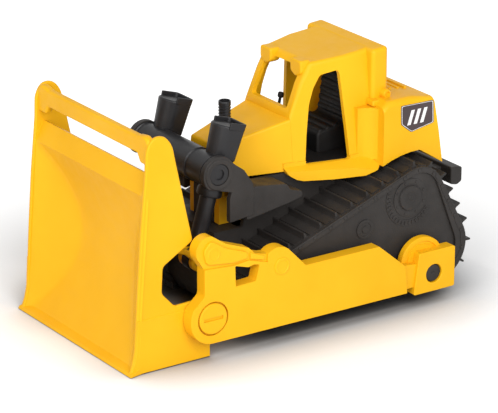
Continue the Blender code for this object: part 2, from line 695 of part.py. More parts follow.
def make_arm_pin(black, name, side):
    pin = cross_bar(ARM_PIN_STATION, ARM_PIN_HEIGHT, ARM_PIN_RADIUS,
                    TRACK_OUTER - TRACK_WALL - 5 * MM, ARM_OUTER - 0.8 * MM)
    piece(f"arm_pivot_pin_{name}", for_side(pin, side), black)


def make_axle_set(steel, black, end):
    station = WHEEL_STATIONS[end]
    pivot = pivot_empty(f"axle_{end}_axis", (0, station - MID, WHEEL_RADIUS))
    axle = cross_bar(station, WHEEL_RADIUS, AXLE_RADIUS, -AXLE_HALF, AXLE_HALF, 16)
    piece(f"axle_{end}", axle, steel, pivot)
    bore, hub, rim = AXLE_RADIUS + PIN_GAP, 4.0 * MM, WHEEL_RADIUS - 2.5 * MM
    low, high = WHEEL_X - WHEEL_WIDTH / 2, WHEEL_X + WHEEL_WIDTH / 2
    dish = 2.0 * MM
    profile = [(low, bore), (low, hub), (low + dish, hub), (low + dish, rim), (low, rim),
               (low, WHEEL_RADIUS - 0.6 * MM), (low + 0.6 * MM, WHEEL_RADIUS),
               (high - 0.6 * MM, WHEEL_RADIUS),
               (high, WHEEL_RADIUS - 0.6 * MM), (high, rim), (high - dish, rim), (high - dish, hub),
               (high, hub), (high, bore)]
    for name, side in SIDES.items():
        piece(f"wheel_{end}_{name}", for_side(turned(profile, station, WHEEL_RADIUS), side), black, pivot)


# Chassis and body

def make_chassis(black):
    outline = [(CHASSIS_FRONT, 16 * MM), (CHASSIS_FRONT + 6 * MM, CHASSIS_LOW),
               (CHASSIS_REAR - 8 * MM, CHASSIS_LOW), (CHASSIS_REAR, 14 * MM), (CHASSIS_REAR, TAIL_HEIGHT),
               (CAB_REAR, SILL), (HOOD_FRONT + 14 * MM, SILL), (HOOD_FRONT + 8 * MM, CHASSIS_DECK),
               (CHASSIS_FRONT, CHASSIS_DECK)]
    chassis = piece("chassis", side_prism(outline, -CHASSIS_HALF, CHASSIS_HALF), black)
    low, deck_end = CHASSIS_LOW + CHASSIS_WALL, HOOD_FRONT + 6 * MM
    front, rear = CHASSIS_FRONT + CHASSIS_WALL, CHASSIS_REAR - CHASSIS_WALL
    hollow = [(front, 18 * MM), (front + 5 * MM, low), (rear - 7 * MM, low), (rear, 16 * MM),
              (rear, TAIL_HEIGHT - CHASSIS_WALL), (CAB_REAR + 1 * MM, SILL - 1.3 * CHASSIS_WALL),
              (CAB_REAR + 1 * MM, SILL + 9 * MM), (deck_end, SILL + 9 * MM),
              (deck_end, CHASSIS_DECK - CHASSIS_WALL), (front, CHASSIS_DECK - CHASSIS_WALL)]
    cut(chassis, side_prism(hollow, -CHASSIS_HALF + CHASSIS_WALL, CHASSIS_HALF - CHASSIS_WALL))
    for station in WHEEL_STATIONS.values():
        cut(chassis, cross_bar(station, WHEEL_RADIUS, AXLE_RADIUS + GAP, -CHASSIS_HALF - 5 * MM,
                               CHASSIS_HALF + 5 * MM))
    for station, x in SCREW_SPOTS.values():
        y = station - MID
        hole = rod_mesh((x, y, 0), (x, y, low + 5 * MM), SCREW_RADIUS + GAP, 16)
        seat = rod_mesh((x, y, 0), (x, y, CHASSIS_LOW + 1.0 * MM), SCREW_HEAD + GAP)
        cut(chassis, both_sides(hole), both_sides(seat))
    station, x = SCREW_SPOTS["rear"]
    clear = rod_mesh((x, station - MID, 40 * MM), (x, station - MID, 80 * MM), POST_RADIUS + GAP)
    cut(chassis, both_sides(clear))


def make_screw(steel, end, name, side):
    station, x = SCREW_SPOTS[end]
    y = station - MID
    head_top = CHASSIS_LOW + 1.0 * MM - GAP
    head = rod_mesh((side * x, y, head_top - 1.5 * MM), (side * x, y, head_top), SCREW_HEAD)
    screw = piece(f"screw_{end}_{name}", head, steel)
    shank = rod_mesh((side * x, y, head_top - 0.5 * MM), (side * x, y, head_top + 9 * MM), SCREW_RADIUS, 16)
    join(screw, shank)


def side_half(station, height):
    """Half width of hood and cab: they widen towards the back, and lean in towards the top."""
    base = min(NOSE_HALF + SIDE_TAPER * (station - HOOD_FRONT), CAB_WIDTH / 2)
    return base - TUMBLEHOME * (height - HOOD_SKIRT)


def body_ring(station, low, high, inset):
    """Section of hood or cab between two heights."""
    foot, top = side_half(station, low) - inset, side_half(station, high) - inset
    y = station - MID
    return [(-foot, y, low), (foot, y, low), (top, y, high), (-top, y, high)]


def hood_ring(station, low, inset):
    return body_ring(station, low, HOOD_TOP + SIDE_TAPER * (station - HOOD_FRONT) - inset, inset)


def roof_height(station):
    return ROOF - ROOF_FALL * (CAB_REAR - station)


def cab_masses(inset, low):
    """Cab through five sections: foot and middle of the windscreen, roof edge, bend and rear."""
    front, rear = CAB_FRONT + 1.1 * inset, CAB_REAR - inset
    tops = [(front, SCREEN_LOW), (front + 5.8 * MM, SCREEN_BEND), (front + 11.4 * MM, SCREEN_TOP - inset),
            (CAB_BEND, roof_height(CAB_BEND) - inset), (rear, roof_height(CAB_REAR) - inset)]
    return loft([body_ring(station, low, high, inset - CAB_STEP) for station, high in tops])


def skirt_half(station):
    """Half width of the flared skirt beside the cab."""
    start = side_half(SKIRT_FRONT, HOOD_SKIRT)
    return start + (TANK_WIDTH / 2 - start) * (station - SKIRT_FRONT) / (TANK_FRONT - SKIRT_FRONT)


def tank_outline():
    """Skirt with a round front corner, wheel arch and tank seen from the side."""
    front = SKIRT_FRONT
    return [(front, 74 * MM), (front, 70.6 * MM), (front + 1.4 * MM, 68.5 * MM), (front + 5 * MM, 66.1 * MM),
            (front + 8.3 * MM, 65.2 * MM), (142.7 * MM, 64.9 * MM), (151.3 * MM, 68.8 * MM),
            (161.9 * MM, 72.1 * MM), (172.6 * MM, 72.9 * MM), (TANK_REAR, 64.1 * MM),
            (TANK_REAR - 5.8 * MM, TANK_TOP - 1 * MM), (TANK_FRONT + 3 * MM, TANK_TOP + 1 * MM),
            (TANK_FRONT, TANK_TOP - 1.5 * MM), (TANK_FRONT, 74 * MM)]


def flare_cutters():
    """What is cut off beside the skirt: everything outside its plan, and above its sloping top."""
    start, end = SKIRT_FRONT - 6 * MM, TANK_FRONT - 0.2 * MM
    wide = TANK_WIDTH
    plan = [(skirt_half(start), start - MID), (skirt_half(end), end - MID), (wide, end - MID),
            (wide, start - MID)]
    outside = loft([[(x, y, z) for x, y in plan] for z in (50 * MM, 74.5 * MM)])
    rings = []
    for station in (start, CAB_BEND, end):
        x, y = side_half(station, DOOR_SILL) + CAB_STEP + GAP, station - MID
        rings.append([(x, y, DOOR_SILL), (x + 30 * MM, y, DOOR_SILL - 15 * MM), (x + 30 * MM, y, 90 * MM),
                      (x, y, 90 * MM)])
    return both_sides(outside), both_sides(loft(rings))


def corner_fill():
    """Hollow corner in front of the tank, from the cab's side out to the tank's side."""
    inner, outer = side_half(CAB_BEND, HOOD_SKIRT) - 0.4 * MM, TANK_WIDTH / 2 - 0.4 * MM
    start, end = TANK_FRONT - 8.3 * MM, TANK_FRONT + 1.3 * MM
    plan = [(inner - 3 * MM, start), (inner, start), (inner + 2 * MM, start + 4.3 * MM),
            (outer - 3.5 * MM, end - 2 * MM), (outer, end), (inner - 3 * MM, end)]
    return both_sides(loft([[(x, y - MID, z) for x, y in plan] for z in (70.6 * MM, TANK_TOP - 2.7 * MM)]))


def door_outline():
    front = CAB_FRONT + 6 * MM
    return rounded([(front, DOOR_SILL), (front + 1.5 * MM, 86.3 * MM), (front + 3.6 * MM, 100.5 * MM),
                    (front + 6.1 * MM, 107.9 * MM), (front + 9.9 * MM, DOOR_TOP - 1.5 * MM),
                    (front + 19 * MM, DOOR_TOP), (front + 22.4 * MM, DOOR_SILL)], 0.9 * MM, 2)


def make_body(yellow):
    """Upper shell: tank with the flared skirt first, then cab, hood, nose and roll bar; hollowed last."""
    tank_half, bar_half, nose_half = TANK_WIDTH / 2, CAB_WIDTH / 2 - 0.8 * MM, NOSE_HALF - 0.6 * MM
    tank = soften(side_prism(tank_outline(), -tank_half, tank_half), 3.0 * MM, 3,
                  lambda a, b: min(a.z, b.z) > 90 * MM and abs(a.x - b.x) < MM)
    cab = soften(cab_masses(0, HOOD_SKIRT), 1.6 * MM, 2, lambda a, b: min(a.z, b.z) > 109 * MM)
    body = piece("body_shell", tank, yellow)
    cut(body, *flare_cutters())
    hood = loft([hood_ring(HOOD_FRONT, HOOD_SKIRT, 0), hood_ring(CAB_FRONT + 1 * MM, HOOD_SKIRT, 0)])
    nose_rear = HOOD_FRONT + 20 * MM
    nose = block((-nose_half, nose_half), (HOOD_FRONT, nose_rear), (CHASSIS_DECK + GAP, 80 * MM))
    rollbar = block((-bar_half, bar_half), (CAB_REAR - 9 * MM, CAB_REAR + 0.4 * MM),
                    (TANK_TOP - 3 * MM, ROOF + 1.0 * MM))
    join(body, cab, hood, nose, rollbar, corner_fill())
    hood_room = loft([hood_ring(station, HOOD_SKIRT - 10 * MM, BODY_WALL)
                      for station in (HOOD_FRONT + BODY_WALL, CAB_FRONT - 0.8 * MM)])
    nose_room = block((-nose_half + BODY_WALL, nose_half - BODY_WALL),
                      (HOOD_FRONT + BODY_WALL, nose_rear - BODY_WALL), (CHASSIS_DECK - 9 * MM, 81 * MM))
    tank_room = block((-tank_half + BODY_WALL, tank_half - BODY_WALL),
                      (CAB_REAR + BODY_WALL + 0.4 * MM, TANK_REAR - 9 * MM), (50 * MM, TANK_TOP - 4 * MM))
    frame_room = block((-CHASSIS_HALF - GAP, CHASSIS_HALF + GAP), (SKIRT_FRONT - 9 * MM, TANK_FRONT + 9 * MM),
                       (50 * MM, SILL + GAP))
    cut(body, cab_masses(BODY_WALL, HOOD_SKIRT - 15 * MM), hood_room, nose_room, tank_room, frame_room)
    door = side_prism(door_outline(), -TANK_WIDTH, TANK_WIDTH)
    window = front_prism(rounded(mm((-14.7, 98.5), (14.7, 98.5), (13.6, 117.4), (-13.6, 117.4)), 1.5 * MM),
                         CAB_FRONT - 6 * MM, CAB_FRONT + 18 * MM)
    stack_hole = rod_mesh((0, EXHAUST_STATION - MID, 75 * MM), (0, EXHAUST_STATION - MID, 99 * MM),
                          EXHAUST_RADIUS - 0.8 * MM + GAP)
    cut(body, door, window, stack_hole)
    visor = front_prism(rounded(mm((8, 121), (8, 115), (12.5, 112.8), (17, 115), (17, 121)), 1.2 * MM),
                        CAB_FRONT + 7.5 * MM, CAB_FRONT + 13 * MM)
    join(body, both_sides(visor))
    ceilings = {"front": 90.2 * MM, "rear": TANK_TOP - 3 * MM}
    for end, (station, x) in SCREW_SPOTS.items():
        y, foot = station - MID, CHASSIS_LOW + CHASSIS_WALL + GAP
        post = rod_mesh((x, y, foot), (x, y, ceilings[end]), POST_RADIUS, 16)
        pilot = rod_mesh((x, y, foot - 5 * MM), (x, y, foot + 10 * MM), SCREW_RADIUS + GAP, 16)
        join(body, both_sides(post))
        cut(body, both_sides(pilot))


def make_exhaust(black):
    y = EXHAUST_STATION - MID
    base = 90.0 * MM
    stack = piece("exhaust_stack", rod_mesh((0, y, base), (0, y, EXHAUST_TOP), EXHAUST_RADIUS), black)
    join(stack, rod_mesh((0, y, base - 5 * MM), (0, y, base + 2 * MM), EXHAUST_RADIUS - 0.8 * MM, 16))
    mouth = rod_mesh((0, y, EXHAUST_TOP - 6 * MM), (0, y, EXHAUST_TOP + 5 * MM), EXHAUST_RADIUS - 0.8 * MM,
                     16)
    cut(stack, mouth)


def make_interior(black):
    """Cab floor with a ribbed seat and a dash, dropped in from below."""
    front, rear, floor = CAB_FRONT + 6 * MM, TANK_FRONT - 1 * MM, SILL + GAP
    rings = [body_ring(station, floor, floor + FLOOR_WALL, BODY_WALL + 2 * GAP)
             for station in (front, CAB_BEND, rear)]
    interior = piece("cab_interior", loft(rings), black)
    seat_rear = CAB_REAR - 8 * MM
    seat = [(seat_rear - 22 * MM, floor + 1 * MM), (seat_rear, floor + 1 * MM),
            (seat_rear + 3 * MM, 106 * MM),
            (seat_rear - 2 * MM, 107 * MM), (seat_rear - 6 * MM, 84 * MM), (seat_rear - 22 * MM, 82 * MM)]
    dash = [(front + 1.5 * MM, floor + 1 * MM), (front + 7 * MM, floor + 1 * MM), (front + 6 * MM, 90 * MM),
            (front + 1.5 * MM, 94 * MM)]
    join(interior, side_prism(rounded(seat, 1.5 * MM), -12 * MM, 12 * MM),
         side_prism(dash, -14 * MM, 14 * MM))
    for height in (88, 93, 98, 103):
        groove = block((-15 * MM, 15 * MM), (seat_rear - 9 * MM, seat_rear - 3 * MM),
                       ((height - 1) * MM, (height + 1) * MM))
        cut(interior, groove)


def make_hitch(black):
    """Chamfered cross beam on two arms from the rear wall."""
    rear = LENGTH
    beam = rounded([(rear - HITCH_BAR, 52 * MM), (rear, 51 * MM), (rear, 43.5 * MM), (rear - 3 * MM, 42 * MM),
                    (rear - HITCH_BAR, 43 * MM)], 0.8 * MM)
    hitch = piece("rear_hitch", side_prism(beam, -HITCH_WIDTH / 2, HITCH_WIDTH / 2), black)
    arm = block((6 * MM, 12 * MM), (CHASSIS_REAR + GAP, rear - 3 * MM), (44.5 * MM, 50 * MM))
    join(hitch, both_sides(arm))


SIDES = {"left": 1, "right": -1}
TRACK_WHEELS = [FRONT_IDLER, REAR_IDLER, SPROCKET]
WHEEL_X = (TRACK_INNER + TRACK_OUTER) / 2

clear_scene()
YELLOW = plastic("yellow_plastic", (0.90, 0.50, 0.03), 0.38)
BLACK = plastic("black_plastic", (0.03, 0.028, 0.028), 0.45)
STEEL = plastic("plated_steel", (0.55, 0.55, 0.56), 0.3, 1.0)

make_chassis(BLACK)
make_body(YELLOW)
make_interior(BLACK)
make_exhaust(BLACK)
make_hitch(BLACK)
make_lift_cylinders(BLACK)
LIFT_PIVOT = pivot_empty("blade_lift_axis", ARM_PIVOT)
make_blade(YELLOW, LIFT_PIVOT)
for NAME, SIDE in SIDES.items():
    make_arm(YELLOW, LIFT_PIVOT, NAME, SIDE)
    make_blade_pin(YELLOW, LIFT_PIVOT, NAME, SIDE)
    make_rod_pin(STEEL, LIFT_PIVOT, NAME, SIDE)
    make_lift_rod(BLACK, NAME, SIDE)
    make_side_frame(BLACK, NAME, SIDE)
    make_track(BLACK, NAME, SIDE)
    make_track_inner(BLACK, NAME, SIDE)
    make_arm_pin(BLACK, NAME, SIDE)
    for END in SCREW_SPOTS:
        make_screw(STEEL, END, NAME, SIDE)
for END in WHEEL_STATIONS:
    make_axle_set(STEEL, BLACK, END)
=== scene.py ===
# %% [markdown]
# # The looks of a moulded toy bulldozer
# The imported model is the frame: it says where every part is and how it moves. This file puts
# finished surfaces round it. It could keep the plain solids and only colour them, but a moulding
# is known by its rounded edges, ribs and seams, so nearly every part is modelled again here.

import json
import math

import bmesh
import bpy
from mathutils import Matrix, Vector


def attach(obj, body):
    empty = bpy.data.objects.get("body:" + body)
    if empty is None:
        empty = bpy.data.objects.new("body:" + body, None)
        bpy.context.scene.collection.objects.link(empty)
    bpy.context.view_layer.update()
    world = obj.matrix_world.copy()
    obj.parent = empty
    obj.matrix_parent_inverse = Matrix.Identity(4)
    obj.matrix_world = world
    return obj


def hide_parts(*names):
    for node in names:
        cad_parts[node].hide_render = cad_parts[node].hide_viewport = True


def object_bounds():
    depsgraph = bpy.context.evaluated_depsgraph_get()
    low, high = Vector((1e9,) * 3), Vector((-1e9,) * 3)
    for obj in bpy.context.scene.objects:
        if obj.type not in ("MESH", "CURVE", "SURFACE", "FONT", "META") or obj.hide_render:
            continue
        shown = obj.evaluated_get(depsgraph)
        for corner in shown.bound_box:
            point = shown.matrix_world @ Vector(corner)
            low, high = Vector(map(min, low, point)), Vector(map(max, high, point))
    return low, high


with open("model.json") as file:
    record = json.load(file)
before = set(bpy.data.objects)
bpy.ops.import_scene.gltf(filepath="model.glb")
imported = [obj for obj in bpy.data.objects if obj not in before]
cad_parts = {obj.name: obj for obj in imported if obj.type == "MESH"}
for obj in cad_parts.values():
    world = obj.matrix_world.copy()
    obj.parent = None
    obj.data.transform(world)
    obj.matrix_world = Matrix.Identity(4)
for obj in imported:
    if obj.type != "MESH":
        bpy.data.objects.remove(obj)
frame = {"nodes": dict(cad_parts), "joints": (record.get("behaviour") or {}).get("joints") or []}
CAD_LOW, CAD_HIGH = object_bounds()
MM = 0.001
MID = CAD_HIGH[1]
print("frame", len(frame["nodes"]), "nodes, half length", round(MID / MM, 2), "mm")

# %% [markdown]
# ## Yellow and black plastic
# A coloured moulding is one colour all through, but never quite even: the pigment swirls a
# little, the polish differs from place to place, and the tool leaves a fine grain. Each of these
# could be painted on an image. Noise textures on Object coordinates do it at a true scale in
# metres, and they need no unwrapping.

# %% Plastic finish
RAMP_ENDS = (0.35, 0.65)
POLISH_PATCHES, GRAIN_HEIGHT = 210, 0.00008


def dial(node, **settings):
    """Set sockets of a node to plain values; an underscore in a keyword stands for a space."""
    for name, value in settings.items():
        node.inputs[name.replace("_", " ")].default_value = value


def noise(tree, scale, detail):
    where = tree.nodes.new("ShaderNodeTexCoord")
    cloud = tree.nodes.new("ShaderNodeTexNoise")
    dial(cloud, Scale=scale, Detail=detail)
    tree.links.new(where.outputs["Object"], cloud.inputs["Vector"])
    return cloud


def ramp(tree, source, low, high):
    """Spread a noise between two colours or greys."""
    node = tree.nodes.new("ShaderNodeValToRGB")
    for stop, position, colour in zip(node.color_ramp.elements, RAMP_ENDS, (low, high)):
        stop.position = position
        stop.color = (*colour, 1)
    tree.links.new(source.outputs["Fac"], node.inputs["Fac"])
    return node


def new_finish(name):
    finish = bpy.data.materials.new(name)
    finish.use_nodes = True
    return finish, finish.node_tree, finish.node_tree.nodes["Principled BSDF"]


def moulded(name, low, high, polish, grain, depth, swirl=28, shine=0.5):
    """Plastic between two near colours, with patchy polish and a fine tool grain."""
    finish, tree, shader = new_finish(name)
    tint = ramp(tree, noise(tree, swirl, 3), low, high)
    tree.links.new(tint.outputs["Color"], shader.inputs["Base Color"])
    dial(shader, Specular_IOR_Level=shine)
    rub = ramp(tree, noise(tree, POLISH_PATCHES, 4), [polish[0]] * 3, [polish[1]] * 3)
    tree.links.new(rub.outputs["Color"], shader.inputs["Roughness"])
    bump = tree.nodes.new("ShaderNodeBump")
    dial(bump, Strength=depth, Distance=GRAIN_HEIGHT)
    tree.links.new(noise(tree, grain, 2).outputs["Fac"], bump.inputs["Height"])
    tree.links.new(bump.outputs["Normal"], shader.inputs["Normal"])
    return finish


YELLOW = moulded("yellow_moulding", (0.775, 0.392, 0.0055), (0.82, 0.43, 0.0085),
                 (0.40, 0.50), 2600, 0.25, shine=0.18)
BLACK = moulded("black_moulding", (0.021, 0.0185, 0.017), (0.030, 0.0265, 0.0245),
                (0.46, 0.60), 1500, 0.9, 60, shine=0.24)
SATIN = moulded("black_satin", (0.010, 0.0095, 0.0105), (0.0145, 0.014, 0.015),
                (0.34, 0.44), 2600, 0.3, 60, shine=0.28)
INSIDE = moulded("black_inside", (0.005, 0.0045, 0.0045), (0.0075, 0.007, 0.0065),
                 (0.50, 0.62), 1500, 0.6, 60, shine=0.2)
print("plastics", YELLOW.name, BLACK.name, SATIN.name)

# %% [markdown]
# ## Plated steel
# Pins, axles and screws are zinc plated wire. A mirror would look wrong at this size: the metal
# is drawn through a die, so fine lines run along it. A noise stretched along X by a Mapping
# node gives those lines to the roughness.

# %% Steel finish
STEEL, tree, shader = new_finish("zinc_plate")
dial(shader, Metallic=1.0, Base_Color=(0.56, 0.56, 0.57, 1))
lines = noise(tree, 900, 2)
stretch = tree.nodes.new("ShaderNodeMapping")
dial(stretch, Scale=(0.08, 1, 1))
tree.links.new(lines.inputs["Vector"].links[0].from_socket, stretch.inputs["Vector"])
tree.links.new(stretch.outputs["Vector"], lines.inputs["Vector"])
drawn = ramp(tree, lines, (0.24,) * 3, (0.38,) * 3)
tree.links.new(drawn.outputs["Color"], shader.inputs["Roughness"])
print("steel", STEEL.name)

# %% [markdown]
# ## Tools for outlines
# Most parts of this toy are plates seen from the side, so an outline is a list of (station,
# height) points in millimetres, where a station is a distance behind the cutting edge. Drawing
# every round by hand would be long, so one helper walks an arc and another rounds the corners.

# %% Outlines


def arc(across, up, radius, start, end, steps=12):
    """Points on a circle from one angle in degrees to another."""
    turns = [math.radians(start + (end - start) * i / steps) for i in range(steps + 1)]
    return [(across + radius * math.cos(t), up + radius * math.sin(t)) for t in turns]


def circle(across, up, radius, steps=32):
    return arc(across, up, radius, 0, 360, steps)[:-1]


def rounded(points, radius, steps=5, closed=True):
    """Round the corners of an outline, or of an open profile, by up to half a side."""
    result = []
    for i, corner in enumerate(points):
        if not closed and i in (0, len(points) - 1):
            result.append(corner)
            continue
        here = Vector(corner)
        before = Vector(points[i - 1]) - here
        after = Vector(points[(i + 1) % len(points)]) - here
        reach = min(radius, before.length * 0.49, after.length * 0.49)
        first, last = here + before.normalized() * reach, here + after.normalized() * reach
        for k in range(steps + 1):
            t = k / steps
            result.append(tuple(first * (1 - t) ** 2 + here * 2 * t * (1 - t) + last * t * t))
    return result


print("arc of", len(arc(0, 0, 1, 0, 90)), "points")

# %% [markdown]
# ## Tools for solids
# A plate is an outline, filled and extruded across the toy. Holes are loops inside the outline:
# triangle_fill leaves them open, which is simpler than a Boolean. Round parts are half profiles
# that spin about an axis. Sharp edges are then bevelled, because a moulded edge always catches
# a thin line of light.

# %% Solids


def point(x, station, height):
    return Vector((x * MM, station * MM - MID, height * MM))


def plate(outline, low, high, holes=(), place=point):
    """Solid between x = low and x = high, in millimetres, with the outline's holes open."""
    bm = bmesh.new()
    for loop in (outline, *holes):
        ring = [bm.verts.new(place(low, *spot)) for spot in loop]
        for a, b in zip(ring, ring[1:] + ring[:1]):
            bm.edges.new((a, b))
    bmesh.ops.triangle_fill(bm, use_beauty=True, use_dissolve=True, edges=bm.edges[:])
    moved = bmesh.ops.extrude_face_region(bm, geom=bm.faces[:])["geom"]
    step = place(high, 0, 0) - place(low, 0, 0)
    bmesh.ops.translate(bm, verts=[v for v in moved if isinstance(v, bmesh.types.BMVert)], vec=step)
    bmesh.ops.recalc_face_normals(bm, faces=bm.faces[:])
    return bm


def across_front(depth, x, height):
    """Lay an (x, height) outline across the toy instead, and extrude it along the stations."""
    return point(x, depth, height)


def spun(profile, start, axis, sides, closed=False):
    """Turn an (along, radius) profile in millimetres about an axis, and close its open ends."""
    axis = Vector(axis).normalized()
    aside = axis.orthogonal().normalized()
    bm = bmesh.new()
    chain = [bm.verts.new(start + (axis * a + aside * r) * MM) for a, r in profile]
    ends = chain[1:] + chain[:1] if closed else chain[1:]
    edges = [bm.edges.new(pair) for pair in zip(chain, ends)]
    bmesh.ops.spin(bm, geom=chain + edges, cent=start, axis=axis, angle=2 * math.pi,
                   steps=sides, use_merge=True, use_duplicate=False)
    bmesh.ops.remove_doubles(bm, verts=bm.verts[:], dist=1e-6)
    bmesh.ops.dissolve_degenerate(bm, dist=1e-7, edges=bm.edges[:])
    bmesh.ops.holes_fill(bm, edges=[e for e in bm.edges if e.is_boundary])
    bmesh.ops.recalc_face_normals(bm, faces=bm.faces[:])
    return bm


def rolled(profile, x, place, sides, closed=False):
    """Spin a profile about the line across the toy through a (station, height) place."""
    return spun(profile, point(x, *place), (1, 0, 0), sides, closed)


def block(x, stations, heights):
    """Box from three pairs of limits in millimetres."""
    low, high = (point(*corner) for corner in zip(x, stations, heights))
    bm = bmesh.new()
    bmesh.ops.create_cube(bm, size=1, matrix=Matrix.Translation((low + high) / 2))
    bmesh.ops.scale(bm, vec=high - low, space=Matrix.Translation(-(low + high) / 2), verts=bm.verts[:])
    return bm


def soft(bm, width, segments=3, chosen=None, angle=28):
    """Bevel the edges sharper than an angle in degrees, by a width in millimetres."""
    edges = [e for e in bm.edges if e.is_manifold and e.calc_face_angle() > math.radians(angle)
             and (chosen is None or chosen(e))]
    bmesh.ops.bevel(bm, geom=edges, offset=width * MM, segments=segments, profile=0.5, material=-1,
                    affect="EDGES", clamp_overlap=True)
    return bm


print("a plate has", len(plate(circle(0, 0, 1, 8), 0, 1).faces), "faces")

# %% [markdown]
# ## Joining, carving and showing
# A part is often several solids that run into each other, so they are gathered in one mesh.
# Where an opening goes through a hollow shell, a Boolean modifier carves it. A shown piece is
# tied to the body it moves with, stands for its CAD node, and has weighted normals, which keep
# large faces flat beside their small bevels.

# %% Joining and showing
MERGE = 2e-6


def joined(*parts):
    whole = bmesh.new()
    for part in parts:
        mesh = bpy.data.meshes.new("part")
        part.to_mesh(mesh)
        part.free()
        whole.from_mesh(mesh)
        bpy.data.meshes.remove(mesh)
    return whole


def flipped(bm):
    """Copy for the other side of the toy."""
    twin = bm.copy()
    bmesh.ops.scale(twin, vec=(-1, 1, 1), verts=twin.verts[:])
    bmesh.ops.reverse_faces(twin, faces=twin.faces[:])
    return twin


def pair(bm):
    return joined(flipped(bm), bm)


def as_object(name, bm):
    mesh = bpy.data.meshes.new(name)
    bm.to_mesh(mesh)
    bm.free()
    made = bpy.data.objects.new(name, mesh)
    bpy.context.scene.collection.objects.link(made)
    return made


def carved(solid, *tools, operation="DIFFERENCE"):
    """Cut or add closed solids with Boolean modifiers, and return the bmesh of the result."""
    target = as_object("carving", solid)
    helpers = [as_object("tool", tool) for tool in tools]
    for helper in helpers:
        step = target.modifiers.new("carve", "BOOLEAN")
        step.operation = operation
        step.object = helper
    graph = bpy.context.evaluated_depsgraph_get()
    result = bmesh.new()
    result.from_object(target, graph)
    for used in (target, *helpers):
        bpy.data.objects.remove(used)
    bmesh.ops.remove_doubles(result, verts=result.verts[:], dist=MERGE)
    bmesh.ops.dissolve_limit(result, angle_limit=math.radians(1), use_dissolve_boundaries=False,
                             verts=result.verts[:], edges=result.edges[:])
    return result


def show(name, bm, finish, body, *nodes):
    """Turn a bmesh into a finished piece of the toy."""
    piece = as_object(name, bm)
    piece.data.materials.append(finish)
    piece.data.shade_smooth()
    piece.data.set_sharp_from_angle(angle=math.radians(50))
    even = piece.modifiers.new("even_shading", "WEIGHTED_NORMAL")
    even.keep_sharp = True
    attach(piece, body)
    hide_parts(*nodes)
    print(name, len(piece.data.polygons), "faces on", body)


SIDES = ("left", "right")


def show_sides(name, bm, finish, body):
    """Show a left part and its mirror image, named like their nodes; {} stands for the side."""
    right = flipped(bm)
    for side, shape in zip(SIDES, (bm, right)):
        show(name.format(side), shape, finish, body.format(side), name.format(side))


print("sides", SIDES)

# %% [markdown]
# ## Moldboard
# The moldboard is the bowl that the earth rolls up in, with a wing bent forward at each side. A
# subdivided grid could be sculpted into it, but the real one is swept: the same plan section
# grows row by row up a curve. So one chain of edges is extruded upwards, each row is set to the
# formula for its height, and solidify gives the sheet its wall.

# %% Moldboard
BLADE_HALF = 50.0
BOARD_LOW, BOARD_TOP, BOARD_WALL = 1.5, 94.0, 2.2
BOARD_EDGE = BLADE_HALF - 1.0
BOWL_DEPTH, WING_SLOPE, CREASE_ROUND = 13.5, 0.55, 1.6
SHELF_LOW, SHELF_FRONT, SHELF_BACK = 84.5, 10.6, 14.6
BOWL_FOOT = 3.2
EDGE_FOOT, EDGE_RAKE, EDGE_FLARE, FLARE_TOP = 2.9, 0.08, 2.4, 12
BOARD_COLUMNS, BOWL_ROWS, SHELF_ROWS = 90, 44, 5


def plate_front(height):
    """Station of the side plates' front edge, which flares forward near the floor."""
    return EDGE_FOOT + EDGE_RAKE * height - EDGE_FLARE * max(0, 1 - height / FLARE_TOP) ** 2


def board_station(x, height):
    """Station of the moldboard's face: a bowl with softly creased wings, and a shelf above."""
    if height > SHELF_LOW:
        share = (height - SHELF_LOW) / (BOARD_TOP - SHELF_LOW)
        return SHELF_FRONT + share * (SHELF_BACK - SHELF_FRONT)
    u = (height - BOARD_LOW) / (SHELF_LOW - BOARD_LOW)
    middle = BOWL_FOOT + (SHELF_FRONT - BOWL_FOOT) * u + 4 * BOWL_DEPTH * u * (1 - u)
    crease = BOARD_EDGE - (middle - plate_front(height)) / WING_SLOPE
    past = abs(x) - crease
    return middle - WING_SLOPE * (past + math.hypot(past, CREASE_ROUND)) / 2


heights = []
for low, high, rows in ((BOARD_LOW, SHELF_LOW, BOWL_ROWS), (SHELF_LOW, BOARD_TOP, SHELF_ROWS)):
    heights += [low + (high - low) * i / rows for i in range(1, rows + 1)]
board = bmesh.new()
across = [BOARD_EDGE * (2 * i / BOARD_COLUMNS - 1) for i in range(BOARD_COLUMNS + 1)]
chain = [board.verts.new(point(x, board_station(x, BOARD_LOW), BOARD_LOW)) for x in across]
edges = [board.edges.new(ends) for ends in zip(chain, chain[1:])]
for height in heights:
    grown = bmesh.ops.extrude_edge_only(board, edges=edges)["geom"]
    fresh = {item for item in grown if isinstance(item, bmesh.types.BMVert)}
    edges = [item for item in grown
             if isinstance(item, bmesh.types.BMEdge) and fresh.issuperset(item.verts)]
    for vert in fresh:
        x = vert.co.x / MM
        vert.co = point(x, board_station(x, height), height)
bmesh.ops.recalc_face_normals(board, faces=board.faces[:])
if sum(face.normal.y for face in board.faces) > 0:
    bmesh.ops.reverse_faces(board, faces=board.faces[:])
bmesh.ops.solidify(board, geom=board.faces[:], thickness=BOARD_WALL * MM)
print("moldboard", len(board.faces), "faces")

# %% [markdown]
# ## Side plates, top bar and cutting lip
# The side plates stand on the floor and end in a rounded ear. Their foot is a little thicker,
# which leaves the thin step line that runs above the push arm. It is set in and back by a hair,
# because two faces in one plane would show as dark specks. The top bar is drawn from the front, so
# that it can swell up to the ears at both ends and reach down in two short legs. The space between
# it and the moldboard is the finger slot.

